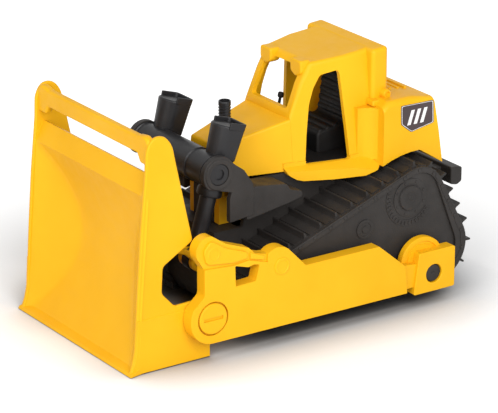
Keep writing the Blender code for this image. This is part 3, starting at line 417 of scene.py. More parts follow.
# %% Blade walls
FOOT_TOP, FOOT_DEPTH, FOOT_BACK, FOOT_IN = 26.5, 44.0, 0.25, 0.4
PLATE_INNER, PLATE_OUTER = 47.5, 49.6
FRONT_EDGE = [(0.5, 0.5), (2.6, 6), (3.9, 11.9)]
EAR_TOP = 112.4
ear = rounded([(10.6, 96), (11, 107), (14.5, EAR_TOP), (20.5, EAR_TOP), (24.8, 107.4), (26.5, 99)],
              3.5)[6:-6]
notch = rounded([(26.5, 99), (35.3, 59.3), (19.1, 49.8), (18.4, 36.9), (25.3, 29.4), (39, 29.8), (44, 26)],
                1.6, 4, closed=False)
upright = FRONT_EDGE + [(5.8, 41.5), (8, 70.4), (10.6, 96)] + ear + notch[:-1] + [(42, 27.5), (42, 2)]
foot = [(s + FOOT_BACK, z) for s, z in FRONT_EDGE]
foot += [(5, FOOT_TOP), (FOOT_DEPTH, FOOT_TOP), (FOOT_DEPTH, 0.5)]
walls = pair(joined(soft(plate(upright, PLATE_INNER, PLATE_OUTER), 0.8, 4),
                    soft(plate(foot, PLATE_INNER + FOOT_IN, BLADE_HALF), 0.35, 2)))
print("side plates", len(walls.faces), "faces")

# %% Top bar and lip
BAR_FRONT, BAR_DEPTH = 12.2, 4.0
BAR_LOW, BAR_HIGH, LEG_LOW = 102.8, 111.2, 98.8
swell = arc(44.6, 108, 4.4, 0, 100, 5) + arc(38, BAR_HIGH + 4, 4.0, 300, 270, 2)
half_bar = [(39, BAR_LOW), (41.5, LEG_LOW), (49, LEG_LOW), (49, 106)] + swell
bar_outline = half_bar + [(-x, z) for x, z in reversed(half_bar)]
top_bar = soft(plate(bar_outline, BAR_FRONT, BAR_FRONT + BAR_DEPTH, place=across_front), 1.4, 5)
LIP_FLARE, FLARE_LENGTH = 1.2, 6.0
lip = plate([(0, 0.3), (11, 0.3), (9, 5), (0.8, 1.6)], -BLADE_HALF - LIP_FLARE, BLADE_HALF + LIP_FLARE)
for vert in lip.verts:
    vert.co.x *= 1 - LIP_FLARE / (BLADE_HALF + LIP_FLARE) * (vert.co.y + MID) / (FLARE_LENGTH * MM)
soft(lip, 0.25, 2)
print("top bar and lip", len(top_bar.faces) + len(lip.faces), "faces")

# %% [markdown]
# ## Lugs behind the blade
# Each lift rod is pinned between two lugs. They are slim plates that bend down to a round end,
# which keeps enough plastic round the pin that the hole does not tear out.

# %% Lugs, and the whole blade
ROD_X = 22.6
ROD_PIN = (52.6, 38.0)
LUG_INNER, LUG_WALL, LUG_RADIUS, LUG_ROOT = 3.0, 2.9, 4.5, 1.3
lugs = []
for inner in (ROD_X + LUG_INNER, ROD_X - LUG_INNER - LUG_WALL):
    root = [(board_station(inner + LUG_WALL / 2, height) + LUG_ROOT, height) for height in (56, 52, 48)]
    lug = root + [(39, 45.6), (45, 43.2)] + arc(*ROD_PIN, LUG_RADIUS, -205, 85, 24)
    lugs.append(soft(plate(lug, inner, inner + LUG_WALL, [circle(*ROD_PIN, 2.2, 20)]), 0.4, 2))
show("blade", joined(board, walls, top_bar, lip, pair(joined(*lugs))), YELLOW, "blade_assembly", "blade")

# %% [markdown]
# ## Push arms
# An arm is a deep beam with the tilt strut moulded onto its front. One flat plate would do for
# the outline, but on the real toy a thinner neck joins the beam to the pivot block. So each of
# the three is a plate of its own, and their steps catch the light.

# %% Push arm beam
ARM_INNER, ARM_OUTER = 50.3, 56.8
BLADE_PIN = (41.3, 22.0)
PIVOT = (168.4, 16.2)
strut = arc(39.6, 55.3, 6.9, 222, 75, 14) + [(49.1, 56.7), (61.5, 52.1), (64.8, 48.9), (69.7, 47.4)]
hump = arc(77.5, 40.5, 8.8, 130, 40, 10)
beam = arc(*BLADE_PIN, 12.2, 270, 150, 16) + arc(33.4, 35, 3.4, 300, 360, 5) + [(36.8, 47)] + strut + hump
beam += [(93, 37), (135.4, 37), (151, 23.7), (152.4, 9.5)]
window = rounded([(53.5, 45.2), (61, 43), (63.6, 43.8), (67, 43), (65, 35.4), (53.8, 35)], 0.6, 3)
beam_plate = soft(plate(beam, ARM_INNER, ARM_OUTER, [window, circle(*BLADE_PIN, 8.3, 40)]), 0.8)
pocket = [(26, 47.6), (52.6, 45.6), (61, 46.4), (71.5, 43.2), (71.5, 68), (26, 68)]
neck = [(146, 10.2), (146, 24), (160, 22.5), (160, 11.2)]
heel = rounded([(159.4, 28), (180.9, 28), (180.9, 7.2), (156.4, 7.2)], 1.2, 4)
arm_parts = [
    carved(beam_plate, plate(pocket, ARM_OUTER - 0.9, ARM_OUTER + 6)),
    soft(plate(neck, ARM_INNER, ARM_OUTER - 1.3), 0.5),
    plate(circle(*BLADE_PIN, 9.6, 40), ARM_INNER, ARM_OUTER - 1.6, [circle(*BLADE_PIN, 4.2, 24)]),
    soft(plate(heel, ARM_INNER, ARM_OUTER, [circle(*PIVOT, 4.7, 36)]), 0.6),
    plate(circle(*PIVOT, 5.2, 36), ARM_INNER + 0.4, ARM_OUTER - 4.4, [circle(*PIVOT, 3.2, 36)])]
print("arm beam", sum(len(part.faces) for part in arm_parts), "faces")

# %% [markdown]
# ## Strut, studs and the grooved disc
# The strut reads as a round barrel because a low crowned panel lies on it, and a rod leads on to
# the hump. Two round studs stand for its pins. Behind the block there is a larger disc with a
# groove pressed into it: a profile with a dip, spun about the cross axis.

# %% Push arm details
crown = [(38, 48.8), (36, 55.5), (40.2, 60.4), (48.6, 55), (60.4, 50.6), (60.4, 47.6), (52.4, 46.9)]
arm_parts.append(soft(plate(rounded(crown, 2.2), ARM_OUTER - 1.6, ARM_OUTER + 0.35), 0.9, 4))
strut_rod = [(62, 50), (62, 46.6), (70, 44.6), (70, 46.6)]
arm_parts.append(soft(plate(strut_rod, ARM_OUTER - 1.6, ARM_OUTER), 0.5))
STUD_HIGH = 0.5
for station, height, radius in ((41.7, 53.3, 3.6), (79.5, 39.5, 4.2)):
    stud = [(-1, 0), (-1, radius), (STUD_HIGH - 0.2, radius), (STUD_HIGH, radius - 0.25),
            (STUD_HIGH, radius - 1.0), (STUD_HIGH - 0.25, radius - 1.2), (STUD_HIGH - 0.25, 0)]
    arm_parts.append(rolled(stud, ARM_OUTER, (station, height), 36))
DISC = (164.4, 21.7)
disc = [(-1.2, 0), (-1.2, 12.6), (1.6, 12.6), (2.0, 12.2), (2.0, 10.4), (1.4, 10.2), (1.4, 8.9), (2.0, 8.7),
        (2.0, 0)]
grooved = rolled(disc, ARM_INNER, DISC, 56)
arm_parts.append(carved(grooved, plate(circle(*PIVOT, 3.2, 36), ARM_INNER - 5, ARM_INNER + 9)))
show_sides("push_arm_{}", joined(*arm_parts), YELLOW, "blade_assembly")

# %% [markdown]
# ## Pins of the arms
# The pin in the blade has a wide head with a screwdriver slot, which a small box carves into a
# spun disc. The pivot pin behind is a plain black peg, and the rod pins are steel wire with
# domed ends.

# %% Pins
HEAD_RADIUS, HEAD_FACE = 7.5, ARM_OUTER + 0.4
shank = [(45.5, 0), (45.5, 3.4), (46.1, 4.0), (55.4, 4.0), (55.4, HEAD_RADIUS),
         (HEAD_FACE - 0.5, HEAD_RADIUS), (HEAD_FACE - 0.15, HEAD_RADIUS - 0.15),
         (HEAD_FACE, HEAD_RADIUS - 0.5), (HEAD_FACE, 0)]
pin_slot = block((HEAD_FACE - 0.9, HEAD_FACE + 3), (BLADE_PIN[0] - 5.2, BLADE_PIN[0] + 5.2),
                 (BLADE_PIN[1] - 0.8, BLADE_PIN[1] + 0.8))
show_sides("blade_pin_{}", carved(rolled(shank, 0, BLADE_PIN, 48), pin_slot), YELLOW, "blade_assembly")
peg = [(40.8, 0), (40.8, 3.0), (53, 3.0), (53, 4.4), (55.5, 4.4), (55.9, 4.0), (55.9, 1.2), (55.6, 0.9),
       (55.6, 0)]
show_sides("arm_pivot_pin_{}", rolled(peg, 0, PIVOT, 40), BLACK, "chassis")
wire = [(-6.4, 0)] + arc(-5.9, 1.4, 0.6, 180, 90, 4) + arc(5.9, 1.4, 0.6, 90, 0, 4) + [(6.4, 0)]
show_sides("rod_pin_{}", rolled(wire, ROD_X, ROD_PIN, 28), STEEL, "blade_assembly")

# %% [markdown]
# ## Lift cylinders
# The barrels lean back along the line that the rod pin follows as the blade rises, so each is
# spun about that line. The frame's slide joint holds its direction, which keeps the rods in the
# middle of their barrels at every pose. Collars are steps in the spun profile. The head of each
# is round in front and square behind, so it is an outline drawn across the barrel, and a U-shaped
# rim stands a little above it. A cross tube joins the two.

# %% Lift cylinders
SLIDE = next(joint for joint in frame["joints"] if joint["name"] == "rod_left_slide")
LEAN = Vector(SLIDE["axis"]).normalized()
ROD_FOOT = point(ROD_X, *ROD_PIN)
BARREL, NECK, BORE = 6.1, 5.7, 4.4
TRUNNION = (60.6, 81.0)
tube = [(31, BORE), (31, 5.6), (31.5, BARREL), (34.2, BARREL), (34.6, NECK), (50, NECK), (50, BORE)]
barrels = [spun(tube, ROD_FOOT, LEAN, 44, closed=True)]


def over_barrel(along, x, behind):
    """Place a point by its distance up the barrel, and across it."""
    return ROD_FOOT + (LEAN * along + Vector((x, 0, 0)) + LEAN.cross(Vector((1, 0, 0))) * behind) * MM


DRUM, DRUM_LOW, DRUM_HIGH, DRUM_TAPER, BORE_END = 7.1, 49.0, 65.6, 0.14, 64.8
RIM, RIM_WALL, RIM_HIGH = 7.2, 1.2, 67.6


def tapered(bm):
    """Make a cylinder head narrower downwards."""
    for vert in bm.verts:
        along = (vert.co - ROD_FOOT).dot(LEAN)
        axis = ROD_FOOT + LEAN * along
        share = (DRUM_HIGH - along / MM) / (DRUM_HIGH - DRUM_LOW)
        vert.co = axis + (vert.co - axis) * (1 - DRUM_TAPER * share)
    return bm


def square_back(half, front, radius):
    """Back of a cylinder head: three straight sides with round corners."""
    return rounded([(half, front), (half, half), (-half, half), (-half, front)], radius, 6, closed=False)


def bored(end):
    """Cutter for the rod's bore, up to a distance along the barrel."""
    return spun([(20, 0), (20, BORE), (end, BORE), (end, 0)], ROD_FOOT, LEAN, 44)


drum_outline = arc(0, 0, DRUM, 180, 360, 24) + square_back(DRUM, 0, 2.4)[1:-1]
drum = plate(drum_outline, DRUM_LOW, DRUM_HIGH, place=over_barrel)
barrels.append(carved(tapered(soft(drum, 0.9)), bored(BORE_END)))
rim = square_back(RIM, -2.5, 2.6) + square_back(RIM - RIM_WALL, -2.5, 1.6)[::-1]
barrels.append(tapered(soft(plate(rim, DRUM_HIGH - 1.6, RIM_HIGH, place=over_barrel), 0.5)))
SHAFT, JOURNAL, TUBE_END = 8.3, 5.0, 33.0
half_tube = [(0, SHAFT), (15.2, SHAFT), (15.7, 7.7), (28.8, 7.7), (29.2, SHAFT), (29.4, SHAFT - 0.4),
             (29.8, JOURNAL), (TUBE_END, JOURNAL), (TUBE_END + 0.2, JOURNAL - 0.3), (TUBE_END + 0.2, 2.6),
             (TUBE_END - 0.6, 2.4), (TUBE_END - 0.6, 0)]
cross = rolled([(-a, r) for a, r in reversed(half_tube)] + half_tube[1:], 0, TRUNNION, 52)
cross = carved(cross, bored(60), flipped(bored(60)))
show("lift_cylinder_pair", joined(cross, pair(joined(*barrels))), SATIN, "chassis", "lift_cylinder_pair")

# %% [markdown]
# ## Lift rods
# A rod is a shaft, a neck and a flat eye. The eye is a plate with a hole, and the shaft is spun
# with a chamfered end and a shallow groove above the neck, as moulded rods have.

# %% Lift rods
ROD_RADIUS, EYE, EYE_HALF = 4.0, 5.0, 2.5
shaft = [(4, 0), (4, 2.4), (7.4, 2.5), (8.6, 3.6), (9.2, ROD_RADIUS), (11, ROD_RADIUS), (11.3, 3.7),
         (11.9, 3.7), (12.2, ROD_RADIUS), (39.2, ROD_RADIUS), (39.8, 3.4), (39.8, 0)]
eye = soft(plate(circle(*ROD_PIN, EYE, 40), ROD_X - EYE_HALF, ROD_X + EYE_HALF,
                 [circle(*ROD_PIN, 2.9, 28)]), 0.5, 2)
show_sides("lift_rod_{}", joined(eye, spun(shaft, ROD_FOOT, LEAN, 44)), SATIN, "rod_{}")

# %% [markdown]
# ## Side frames and yokes
# A cheek beside the chassis carries a yoke, and the cross tube rests in it. On the toy this is
# one black moulding with a raised ring round the bearing. Two plates of different widths and a
# spun ring show that, and a bevel softens their edges.

# %% Side frames
CHEEK_INNER, YOKE_INNER, YOKE_OUTER = 20.5, 30.1, 33.2
cheek = [(76, 55), (100, 58.8), (108, 60.5), (108, 63.5), (101, 65.5), (99, 68.8), (82, 71), (76, 70.5)]
yoke = arc(*TRUNNION, 8.7, 55, 215, 22)
yoke += [(54.6, 74.7), (67.5, 70.8), (66.4, 67.6), (66.4, 56), (80, 57.5), (80, 70), (79.5, 73), (74.6, 80.5),
         (69.5, 84.2)]
bearing = [(0, 5.2), (0, 7.6), (0.35, 7.4), (0.5, 7.0), (0.5, 5.8), (0.3, 5.2)]
frame_parts = [soft(plate(rounded(cheek, 1.5), CHEEK_INNER, YOKE_OUTER - 0.4), 0.7),
               soft(plate(yoke, YOKE_INNER, YOKE_OUTER, [circle(*TRUNNION, 5.2, 36)]), 0.6),
               rolled(bearing, YOKE_OUTER - 0.1, TRUNNION, 48, closed=True)]
show_sides("side_frame_{}", joined(*frame_parts), BLACK, "chassis")

# %% [markdown]
# ## Track belts
# The track is a rigid moulding in the shape of a belt round three wheels, with the drive wheel
# raised. A tight belt is arcs joined by straight runs, so its outline is worked out from the
# three circles. The belt is a hollow ring with openings below, where the hidden wheels touch
# the floor.

# %% Belt outline
IDLERS = [(74.0, 20.9, 13.5), (176.3, 25.4, 18.0), (165.0, 53.0, 15.2)]
TRACK_INNER, TRACK_OUTER, TRACK_WALL, RELIEF = 20.5, 48.0, 2.5, 1.3
RING_END = TRACK_OUTER - 2.2
BELT_STEP = math.radians(6)
LINKS = 34


def belt(*shrink):
    """Outline of a tight belt round the three wheels, each made smaller by an amount."""
    wheels = [(s, z, r - less) for (s, z, r), less in zip(IDLERS, shrink)]
    normals = []
    for (s1, z1, r1), (s2, z2, r2) in zip(wheels, wheels[1:] + wheels[:1]):
        along = Vector((s2 - s1, z2 - z1))
        lean = (r1 - r2) / along.length
        along.normalize()
        normals.append(along * lean + Vector((along.y, -along.x)) * math.sqrt(1 - lean * lean))
    outline = []
    for i, (station, height, radius) in enumerate(wheels):
        start = math.atan2(normals[i - 1].y, normals[i - 1].x)
        sweep = (math.atan2(normals[i].y, normals[i].x) - start) % (2 * math.pi)
        outline += arc(station, height, radius, math.degrees(start), math.degrees(start + sweep),
                       max(3, round(sweep / BELT_STEP)))
    return outline


def walk(outline, shift):
    """Evenly spaced places on an outline, one for each link, with their direction of travel."""
    corners = [Vector(spot) for spot in outline]
    runs = list(zip(corners, corners[1:] + corners[:1]))
    pitch = sum((b - a).length for a, b in runs) / LINKS
    places, walked, number = [], 0.0, 0
    for a, b in runs:
        ahead = (b - a).normalized()
        while number < LINKS and (number + shift) * pitch < walked + (b - a).length:
            places.append((a + ahead * ((number + shift) * pitch - walked), ahead))
            number += 1
        walked += (b - a).length
    return places


WHEEL_STATIONS = {"front": 84.0, "rear": 158.0}
WHEEL_X, SLOT_X, SLOT_REACH = 34.25, 6.0, 13.5
WHEEL_RADIUS = 13.0
WHOLE_BELT = belt(0, 0, 0)
ring = plate(WHOLE_BELT, TRACK_INNER, RING_END, [belt(*[TRACK_WALL] * 3)])
openings = [block((WHEEL_X - SLOT_X, WHEEL_X + SLOT_X), (s - SLOT_REACH, s + SLOT_REACH), (-4, 10.6))
            for s in WHEEL_STATIONS.values()]
track_parts = [carved(ring, *openings)]
print("belt", len(track_parts[0].faces), "faces")

# %% [markdown]
# ## Grousers and link pads
# Across the belt run thin bars that would grip the ground, with a flat pad between each two.
# They could be copies made by an Array modifier on a curve, but the bars have to stop short of
# the wheel openings, so a loop places each one and splits it there. Those down the back stand
# out further.

# %% Grousers
FIN = [(-1.9, -0.8), (1.9, -0.8), (1.3, 0.5), (0.7, 1.0), (0.5, 2.8), (0.3, 3.0), (-0.3, 3.0), (-0.5, 2.8),
       (-0.7, 1.0), (-1.3, 0.5)]
PAD = [(-2.4, -0.5), (2.4, -0.5), (2.1, 0.45), (-2.1, 0.45)]
REAR_FROM, REAR_RISE = 177.0, 1.45


def placed(shape, place, ahead):
    """Move an outline drawn as (along, outwards) to a place on the belt."""
    out = Vector((ahead.y, -ahead.x))
    return [tuple(place + ahead * a + out * o) for a, o in shape]


def spans(place, reach):
    """Widths of a bar at a place: whole, or in two halves beside a wheel opening."""
    beside = any(abs(place.x - s) < SLOT_REACH + reach for s in WHEEL_STATIONS.values())
    if place.y < 10 and beside:
        return [(TRACK_INNER, WHEEL_X - SLOT_X - 0.4), (WHEEL_X + SLOT_X + 0.4, RING_END)]
    return [(TRACK_INNER, RING_END)]


for shape, shift, reach in ((FIN, 0.5, 2.0), (PAD, 0.0, 2.5)):
    for place, ahead in walk(WHOLE_BELT, shift):
        rise = REAR_RISE if place.x > REAR_FROM else 1.0
        bar = placed([(along, out * rise) for along, out in shape], place, ahead)
        for low, high in spans(place, reach):
            track_parts.append(plate(bar, low, high))
print("bars and pads", len(track_parts) - 1)

# %% [markdown]
# ## Track side walls
# The outer wall is cast with the look of a chain: a raised rim with link plates and pins, wider
# down the back, and inside it the drive wheel's toothed ring, its hub and the rollers. All of
# this is only about a millimetre high, so low plates and spun discs are laid on a flat wall.

# %% Rim, links and pins
OUTER_WALL = TRACK_OUTER - RELIEF
track_parts.append(plate(WHOLE_BELT, RING_END, OUTER_WALL))
track_parts.append(soft(plate(WHOLE_BELT, OUTER_WALL, TRACK_OUTER, [belt(3.0, 6.5, 3.0)]), 0.35, 2))
LINK = rounded([(-3.6, -1.0), (3.6, -1.0), (3.6, 1.0), (-3.6, 1.0)], 0.9, 2)
LINK_PIN = [(-0.2, 1.0), (0.3, 0.9), (0.45, 0.5), (0.45, 0)]
CHAIN_LINE = belt(1.5, 2.4, 1.5)
for place, ahead in walk(CHAIN_LINE, 0.5):
    track_parts.append(plate(placed(LINK, place, ahead), TRACK_OUTER - 0.3, TRACK_OUTER + 0.18))
for place, ahead in walk(CHAIN_LINE, 0.0):
    track_parts.append(rolled(LINK_PIN, TRACK_OUTER, place, 10))
print("rim and links", len(track_parts))

# %% Drive wheel, hub and rollers
HUB = (160.5, 53.5)
GEAR_RADIUS, GEAR_WIDTH, GEAR_FROM, GEAR_TO = 14.2, 3.2, 118, 330
TEETH, TOOTH_MARGIN = 22, 6
TOOTH = [(-0.45, -0.9), (0.45, -0.9), (0.35, 0.9), (-0.35, 0.9)]
gear = arc(*HUB, GEAR_RADIUS, GEAR_FROM, GEAR_TO, 40)
gear += arc(*HUB, GEAR_RADIUS - GEAR_WIDTH, GEAR_TO, GEAR_FROM, 40)
track_parts.append(soft(plate(gear, OUTER_WALL - 0.3, OUTER_WALL + 0.35), 0.15, 2))
first_tooth, last_tooth = GEAR_FROM + TOOTH_MARGIN, GEAR_TO - TOOTH_MARGIN
for place in arc(*HUB, GEAR_RADIUS - GEAR_WIDTH / 2, first_tooth, last_tooth, TEETH - 1):
    out = (Vector(place) - Vector(HUB)).normalized()
    tooth = placed(TOOTH, Vector(place), Vector((-out.y, out.x)))
    track_parts.append(plate(tooth, OUTER_WALL, OUTER_WALL + 0.7))
hub = [(-0.5, 9.6), (0.3, 9.6), (0.5, 9.3), (0.5, 7.2), (0.2, 6.9), (0.2, 6.4), (0.9, 6.0), (0.9, 3.4),
       (0.6, 3.1), (0.6, 1.4), (0.9, 1.1), (0.9, 0)]
track_parts.append(rolled(hub, OUTER_WALL, HUB, 48))
BOLT = [(0.3, 0.8), (0.75, 0.7), (0.85, 0.4), (0.85, 0)]
for place in arc(*HUB, 8.2, 20, 340, 7):
    track_parts.append(rolled(BOLT, OUTER_WALL, place, 6))
roller = [(-0.5, 1), (0.5, 1), (0.6, 0.96), (0.6, 0.72), (0.3, 0.68), (0.3, 0.4), (0.7, 0.36), (0.7, 0)]
for *place, radius in [(134, 43, 4.8)] + [(station, 17.5, 6.5) for station in (92, 108, 124, 140)]:
    track_parts.append(rolled([(a, r * radius) for a, r in roller], OUTER_WALL, place, 32))
show_sides("track_{}", joined(*track_parts), BLACK, "chassis")

# %% [markdown]
# ## Inner plates, wheels and axles
# From below the toy shows how it rolls: four small wheels on two wires, behind plates that close
# the tracks. The wheel is a spun profile with a dished face, and its wire has chamfered ends.

# %% Running gear
inner = plate(belt(2.8, 2.8, 2.8), TRACK_INNER, TRACK_INNER + 2,
              [circle(s, WHEEL_RADIUS, 1.8, 24) for s in WHEEL_STATIONS.values()])
show_sides("track_inner_{}", soft(inner, 0.3, 2), BLACK, "chassis")
tread = WHEEL_RADIUS
half_wheel = [(5, 1.7), (5, 4.0), (3.2, 4.2), (3.0, tread - 2.7), (5, tread - 2.4), (5, tread - 0.6),
              (4.6, tread - 0.1), (4.2, tread), (0.6, tread), (0.4, tread - 0.3)]
wheel = [(-a, r) for a, r in half_wheel] + half_wheel[::-1]
axle = [(-40, 0), (-40, 0.9), (-39.4, 1.5), (39.4, 1.5), (40, 0.9), (40, 0)]
for end, station in WHEEL_STATIONS.items():
    body, middle = f"{end}_axle", (station, WHEEL_RADIUS)
    show(f"axle_{end}", rolled(axle, 0, middle, 24), STEEL, body, f"axle_{end}")
    show_sides(f"wheel_{end}_{{}}", rolled(wheel, WHEEL_X, middle, 48, closed=True), BLACK, body)

# %% [markdown]
# ## Body shell
# Hood, cab, fenders and tank are one hollow moulding. It is made as a mould maker would think
# of it: rounded masses that are joined, then emptied from below, then opened by the doors and
# the windscreen. Boolean modifiers do that in order, and one last bevel softens the new edges.

# %% Hood, cab and roll bar
CAB_FRONT, CAB_REAR, CAB_HALF, ROOF = 110.0, 160.5, 28.3, 124.0
TANK_HALF, TANK_FRONT, TANK_REAR, TANK_TOP = 38.0, 151.0, 186.3, 99.0
HOOD_FRONT, HOOD_SKIRT, HOOD_TOP = 74.0, 70.0, 85.8
NOSE_HALF, WIDEN, LEAN_IN = 13.1, 0.24, 0.119
BEND = HOOD_FRONT + (CAB_HALF - NOSE_HALF) / WIDEN
BODY_WALL, CAB_STEP = 2.2, 0.15


def side_half(station, height):
    """Half width of hood and cab: they widen towards the back and lean in towards the roof."""
    return min(NOSE_HALF + WIDEN * (station - HOOD_FRONT), CAB_HALF) - LEAN_IN * (height - HOOD_SKIRT)


def hull(sections, inset=0.0):
    """Solid through sections of (station, low, high) between the two leaning sides."""
    bm = bmesh.new()
    for station, low, high in sections:
        for height in (low, high):
            x = side_half(station, height) - inset
            bm.verts.new(point(x, station, height))
            bm.verts.new(point(-x, station, height))
    bmesh.ops.convex_hull(bm, input=bm.verts[:])
    bmesh.ops.dissolve_limit(bm, angle_limit=math.radians(0.5), verts=bm.verts[:], edges=bm.edges[:])
    return bm


def cab_solid(inset, low):
    front = CAB_FRONT + 1.1 * inset
    return hull([(front, low, 97), (front + 5.8, low, 110.5), (front + 11.4, low, 120.4 - inset),
                 (BEND, low, ROOF - 2.05 - inset), (CAB_REAR - inset, low, ROOF - inset)], inset - CAB_STEP)


def hood_solid(front, rear, inset, low):
    return hull([(s, low, HOOD_TOP + WIDEN * (s - HOOD_FRONT) - inset) for s in (front, rear)], inset)


def above(limit):
    return lambda edge: min(v.co.z for v in edge.verts) > limit * MM


def lengthwise(edge):
    return abs(edge.verts[0].co.x - edge.verts[1].co.x) < MM


cab = soft(cab_solid(0, HOOD_SKIRT), 1.8, 4, above(96))
bonnet = soft(hood_solid(HOOD_FRONT, CAB_FRONT + 1, 0, HOOD_SKIRT), 1.2, 4, above(84))
nose = block((-12.5, 12.5), (HOOD_FRONT, HOOD_FRONT + 20), (47.3, 80))
posts = [(CAB_REAR - 9, TANK_TOP - 3), (CAB_REAR - 9, ROOF - 0.5), (CAB_REAR + 0.4, ROOF + 0.3),
         (CAB_REAR + 0.4, TANK_TOP - 3)]
roll_bar = soft(plate(posts, -27.5, 27.5), 2.0, 5)
print("cab and hood", len(cab.faces), len(bonnet.faces), "faces")

# %% [markdown]
# ## Skirt and tank
# Beside the cab runs a ledge that flares from the hood out to the tank, with a round front
# corner and an arch over the drive wheel. One plate has its side view. Cutters on each side give
# the plan and the falling top, which is quicker than lofting a surface with so many corners. A
# hollow corner then leads from the cab's side out to the tank.

# %% Skirt and tank
SKIRT_FRONT, DOOR_SILL = 105.0, 72.0
skirt = rounded([(SKIRT_FRONT, 74), (SKIRT_FRONT, 70.6), (106.4, 68.5), (110, 66.1), (113.3, 65.2)], 1, 3,
                closed=False)
skirt += [(128, 64.6), (142.7, 64.9), (147, 66.6), (151.3, 68.8), (156, 70.6), (161.9, 72.1), (167, 72.8),
          (172.6, 72.9), (TANK_REAR, 64.1), (TANK_REAR - 2.4, 80), (TANK_REAR - 5.8, TANK_TOP - 1),
          (TANK_FRONT + 16, TANK_TOP + 1.4), (TANK_FRONT + 3, TANK_TOP + 1), (TANK_FRONT, TANK_TOP - 1.5),
          (TANK_FRONT, 74)]
tank = soft(plate(skirt, -TANK_HALF, TANK_HALF), 3.0, 5, lambda e: above(90)(e) and lengthwise(e))


def flat(height, x, station):
    """Lay an (x, station) outline flat and extrude it upwards."""
    return point(x, station, height)


LEDGE_START, LEDGE_END, BEYOND = 98.0, TANK_FRONT - 0.2, 60.0
plan = [(21, LEDGE_START), (TANK_HALF, LEDGE_END), (BEYOND, LEDGE_END), (BEYOND, LEDGE_START)]
beside = [plate(plan, 50, 74.5, place=flat)]
for start, end in ((LEDGE_START, BEND), (BEND - 0.05, LEDGE_END)):
    wedge = bmesh.new()
    for station in (start, end):
        x = side_half(end if start > LEDGE_START else station, DOOR_SILL) + CAB_STEP + 0.3
        for out, height in ((x, DOOR_SILL), (x + 30, DOOR_SILL - 16), (x + 30, 90), (x, 90)):
            wedge.verts.new(point(out, station, height))
    bmesh.ops.convex_hull(wedge, input=wedge.verts[:])
    beside.append(wedge)
tank = carved(tank, *[flipped(tool) for tool in beside], *beside)
CORNER_X, CORNER_FRONT = 37.6, 142.6
turns = [math.radians(9 * i) for i in range(11)]
hollow = [(CORNER_X - 9.4 * math.cos(t), CORNER_FRONT + 9.2 * math.sin(t)) for t in turns]
corner = plate(hollow + [(24, 152.3), (24, CORNER_FRONT)], 70.6, 96.3, place=flat)
print("skirt and tank", len(tank.faces), "faces")

# %% [markdown]
# ## Emptying and opening the shell
# The rooms are the same outlines, moved in by the wall. The door leans back with a curved front
# edge, and the windscreen goes through the sloping front only.

# %% Carve the body
rooms = [cab_solid(BODY_WALL, 55), hood_solid(HOOD_FRONT + BODY_WALL, CAB_FRONT - 0.8, BODY_WALL, 60),
         block((-10.3, 10.3), (HOOD_FRONT + BODY_WALL, HOOD_FRONT + 17.8), (38, 81)),
         block((-35.8, 35.8), (CAB_REAR + 2.6, TANK_REAR - 9), (50, TANK_TOP - 4)),
         block((-20.5, 20.5), (96, 160), (50, 69.5))]
door = rounded([(116, DOOR_SILL), (117.5, 86.3), (119.6, 100.5), (122.1, 107.9), (125.9, 114.1),
                (134.6, 115.6), (135.6, 113.8), (137, 92.7), (138.4, DOOR_SILL)], 1.4)
windscreen = rounded([(-14.7, 98.5), (14.7, 98.5), (13.6, 117.4), (-13.6, 117.4)], 2.2, 6)
STACK, UP = 85.6, (0, 0, 1)
stack_seat = spun([(0, 0), (0, 2.5), (24, 2.5), (24, 0)], point(0, STACK, 75), UP, 24)
shell = carved(tank, cab, bonnet, nose, roll_bar, flipped(corner), corner, operation="UNION")
shell = carved(shell, *rooms)
shell = carved(shell, plate(door, -TANK_HALF, TANK_HALF), stack_seat,
               plate(windscreen, CAB_FRONT - 6, CAB_FRONT + 18, place=across_front))
soft(shell, 0.4, 2, angle=38)
print("shell", len(shell.faces), "faces,", sum(not e.is_manifold for e in shell.edges), "open edges")

# %% [markdown]
# ## Small forms on the body
# Two visors hang from the front of the roof, a flange and a pipe stub sit where the roll bar
# meets the tank, and low ribs cross the tank lid. They are separate rounded solids set into the
# shell, which is how a mould's small inserts look too.

# %% Visors, flange, stub and lid ribs
visor = rounded([(8, 121.2), (8, 115), (12.5, 112.8), (17, 115), (17, 121.2)], 1.6, 5)
body_parts = [shell, pair(soft(plate(visor, CAB_FRONT + 7.2, CAB_FRONT + 13, place=across_front), 0.9, 4))]
body_parts.append(pair(soft(block((23, 31), (149.5, 162.5), (96.5, 99.6)), 1.0, 4)))
stub = [(0, 2.4), (3.4, 2.4), (4.0, 1.9), (4.0, 1.3), (3.2, 1.1), (3.2, 0)]
body_parts.append(pair(rolled(stub, 27, (158, 101.6), 28)))
for station in (165.5, 170, 174.5):
    lid_height = 101.0 - 0.1 * (station - 165)
    body_parts.append(soft(block((-22, 22), (station, station + 1.6), (97, lid_height)), 0.5))
show("body_shell", joined(*body_parts), YELLOW, "chassis", "body_shell")

# %% [markdown]
# ## Label on the tank
# The tank has a dark five-sided sticker with plain slanted bars in a thin border. It could be an
# image on the shell. Here each colour is its own thin plate, so the pattern is geometry and stays
# sharp at any distance.

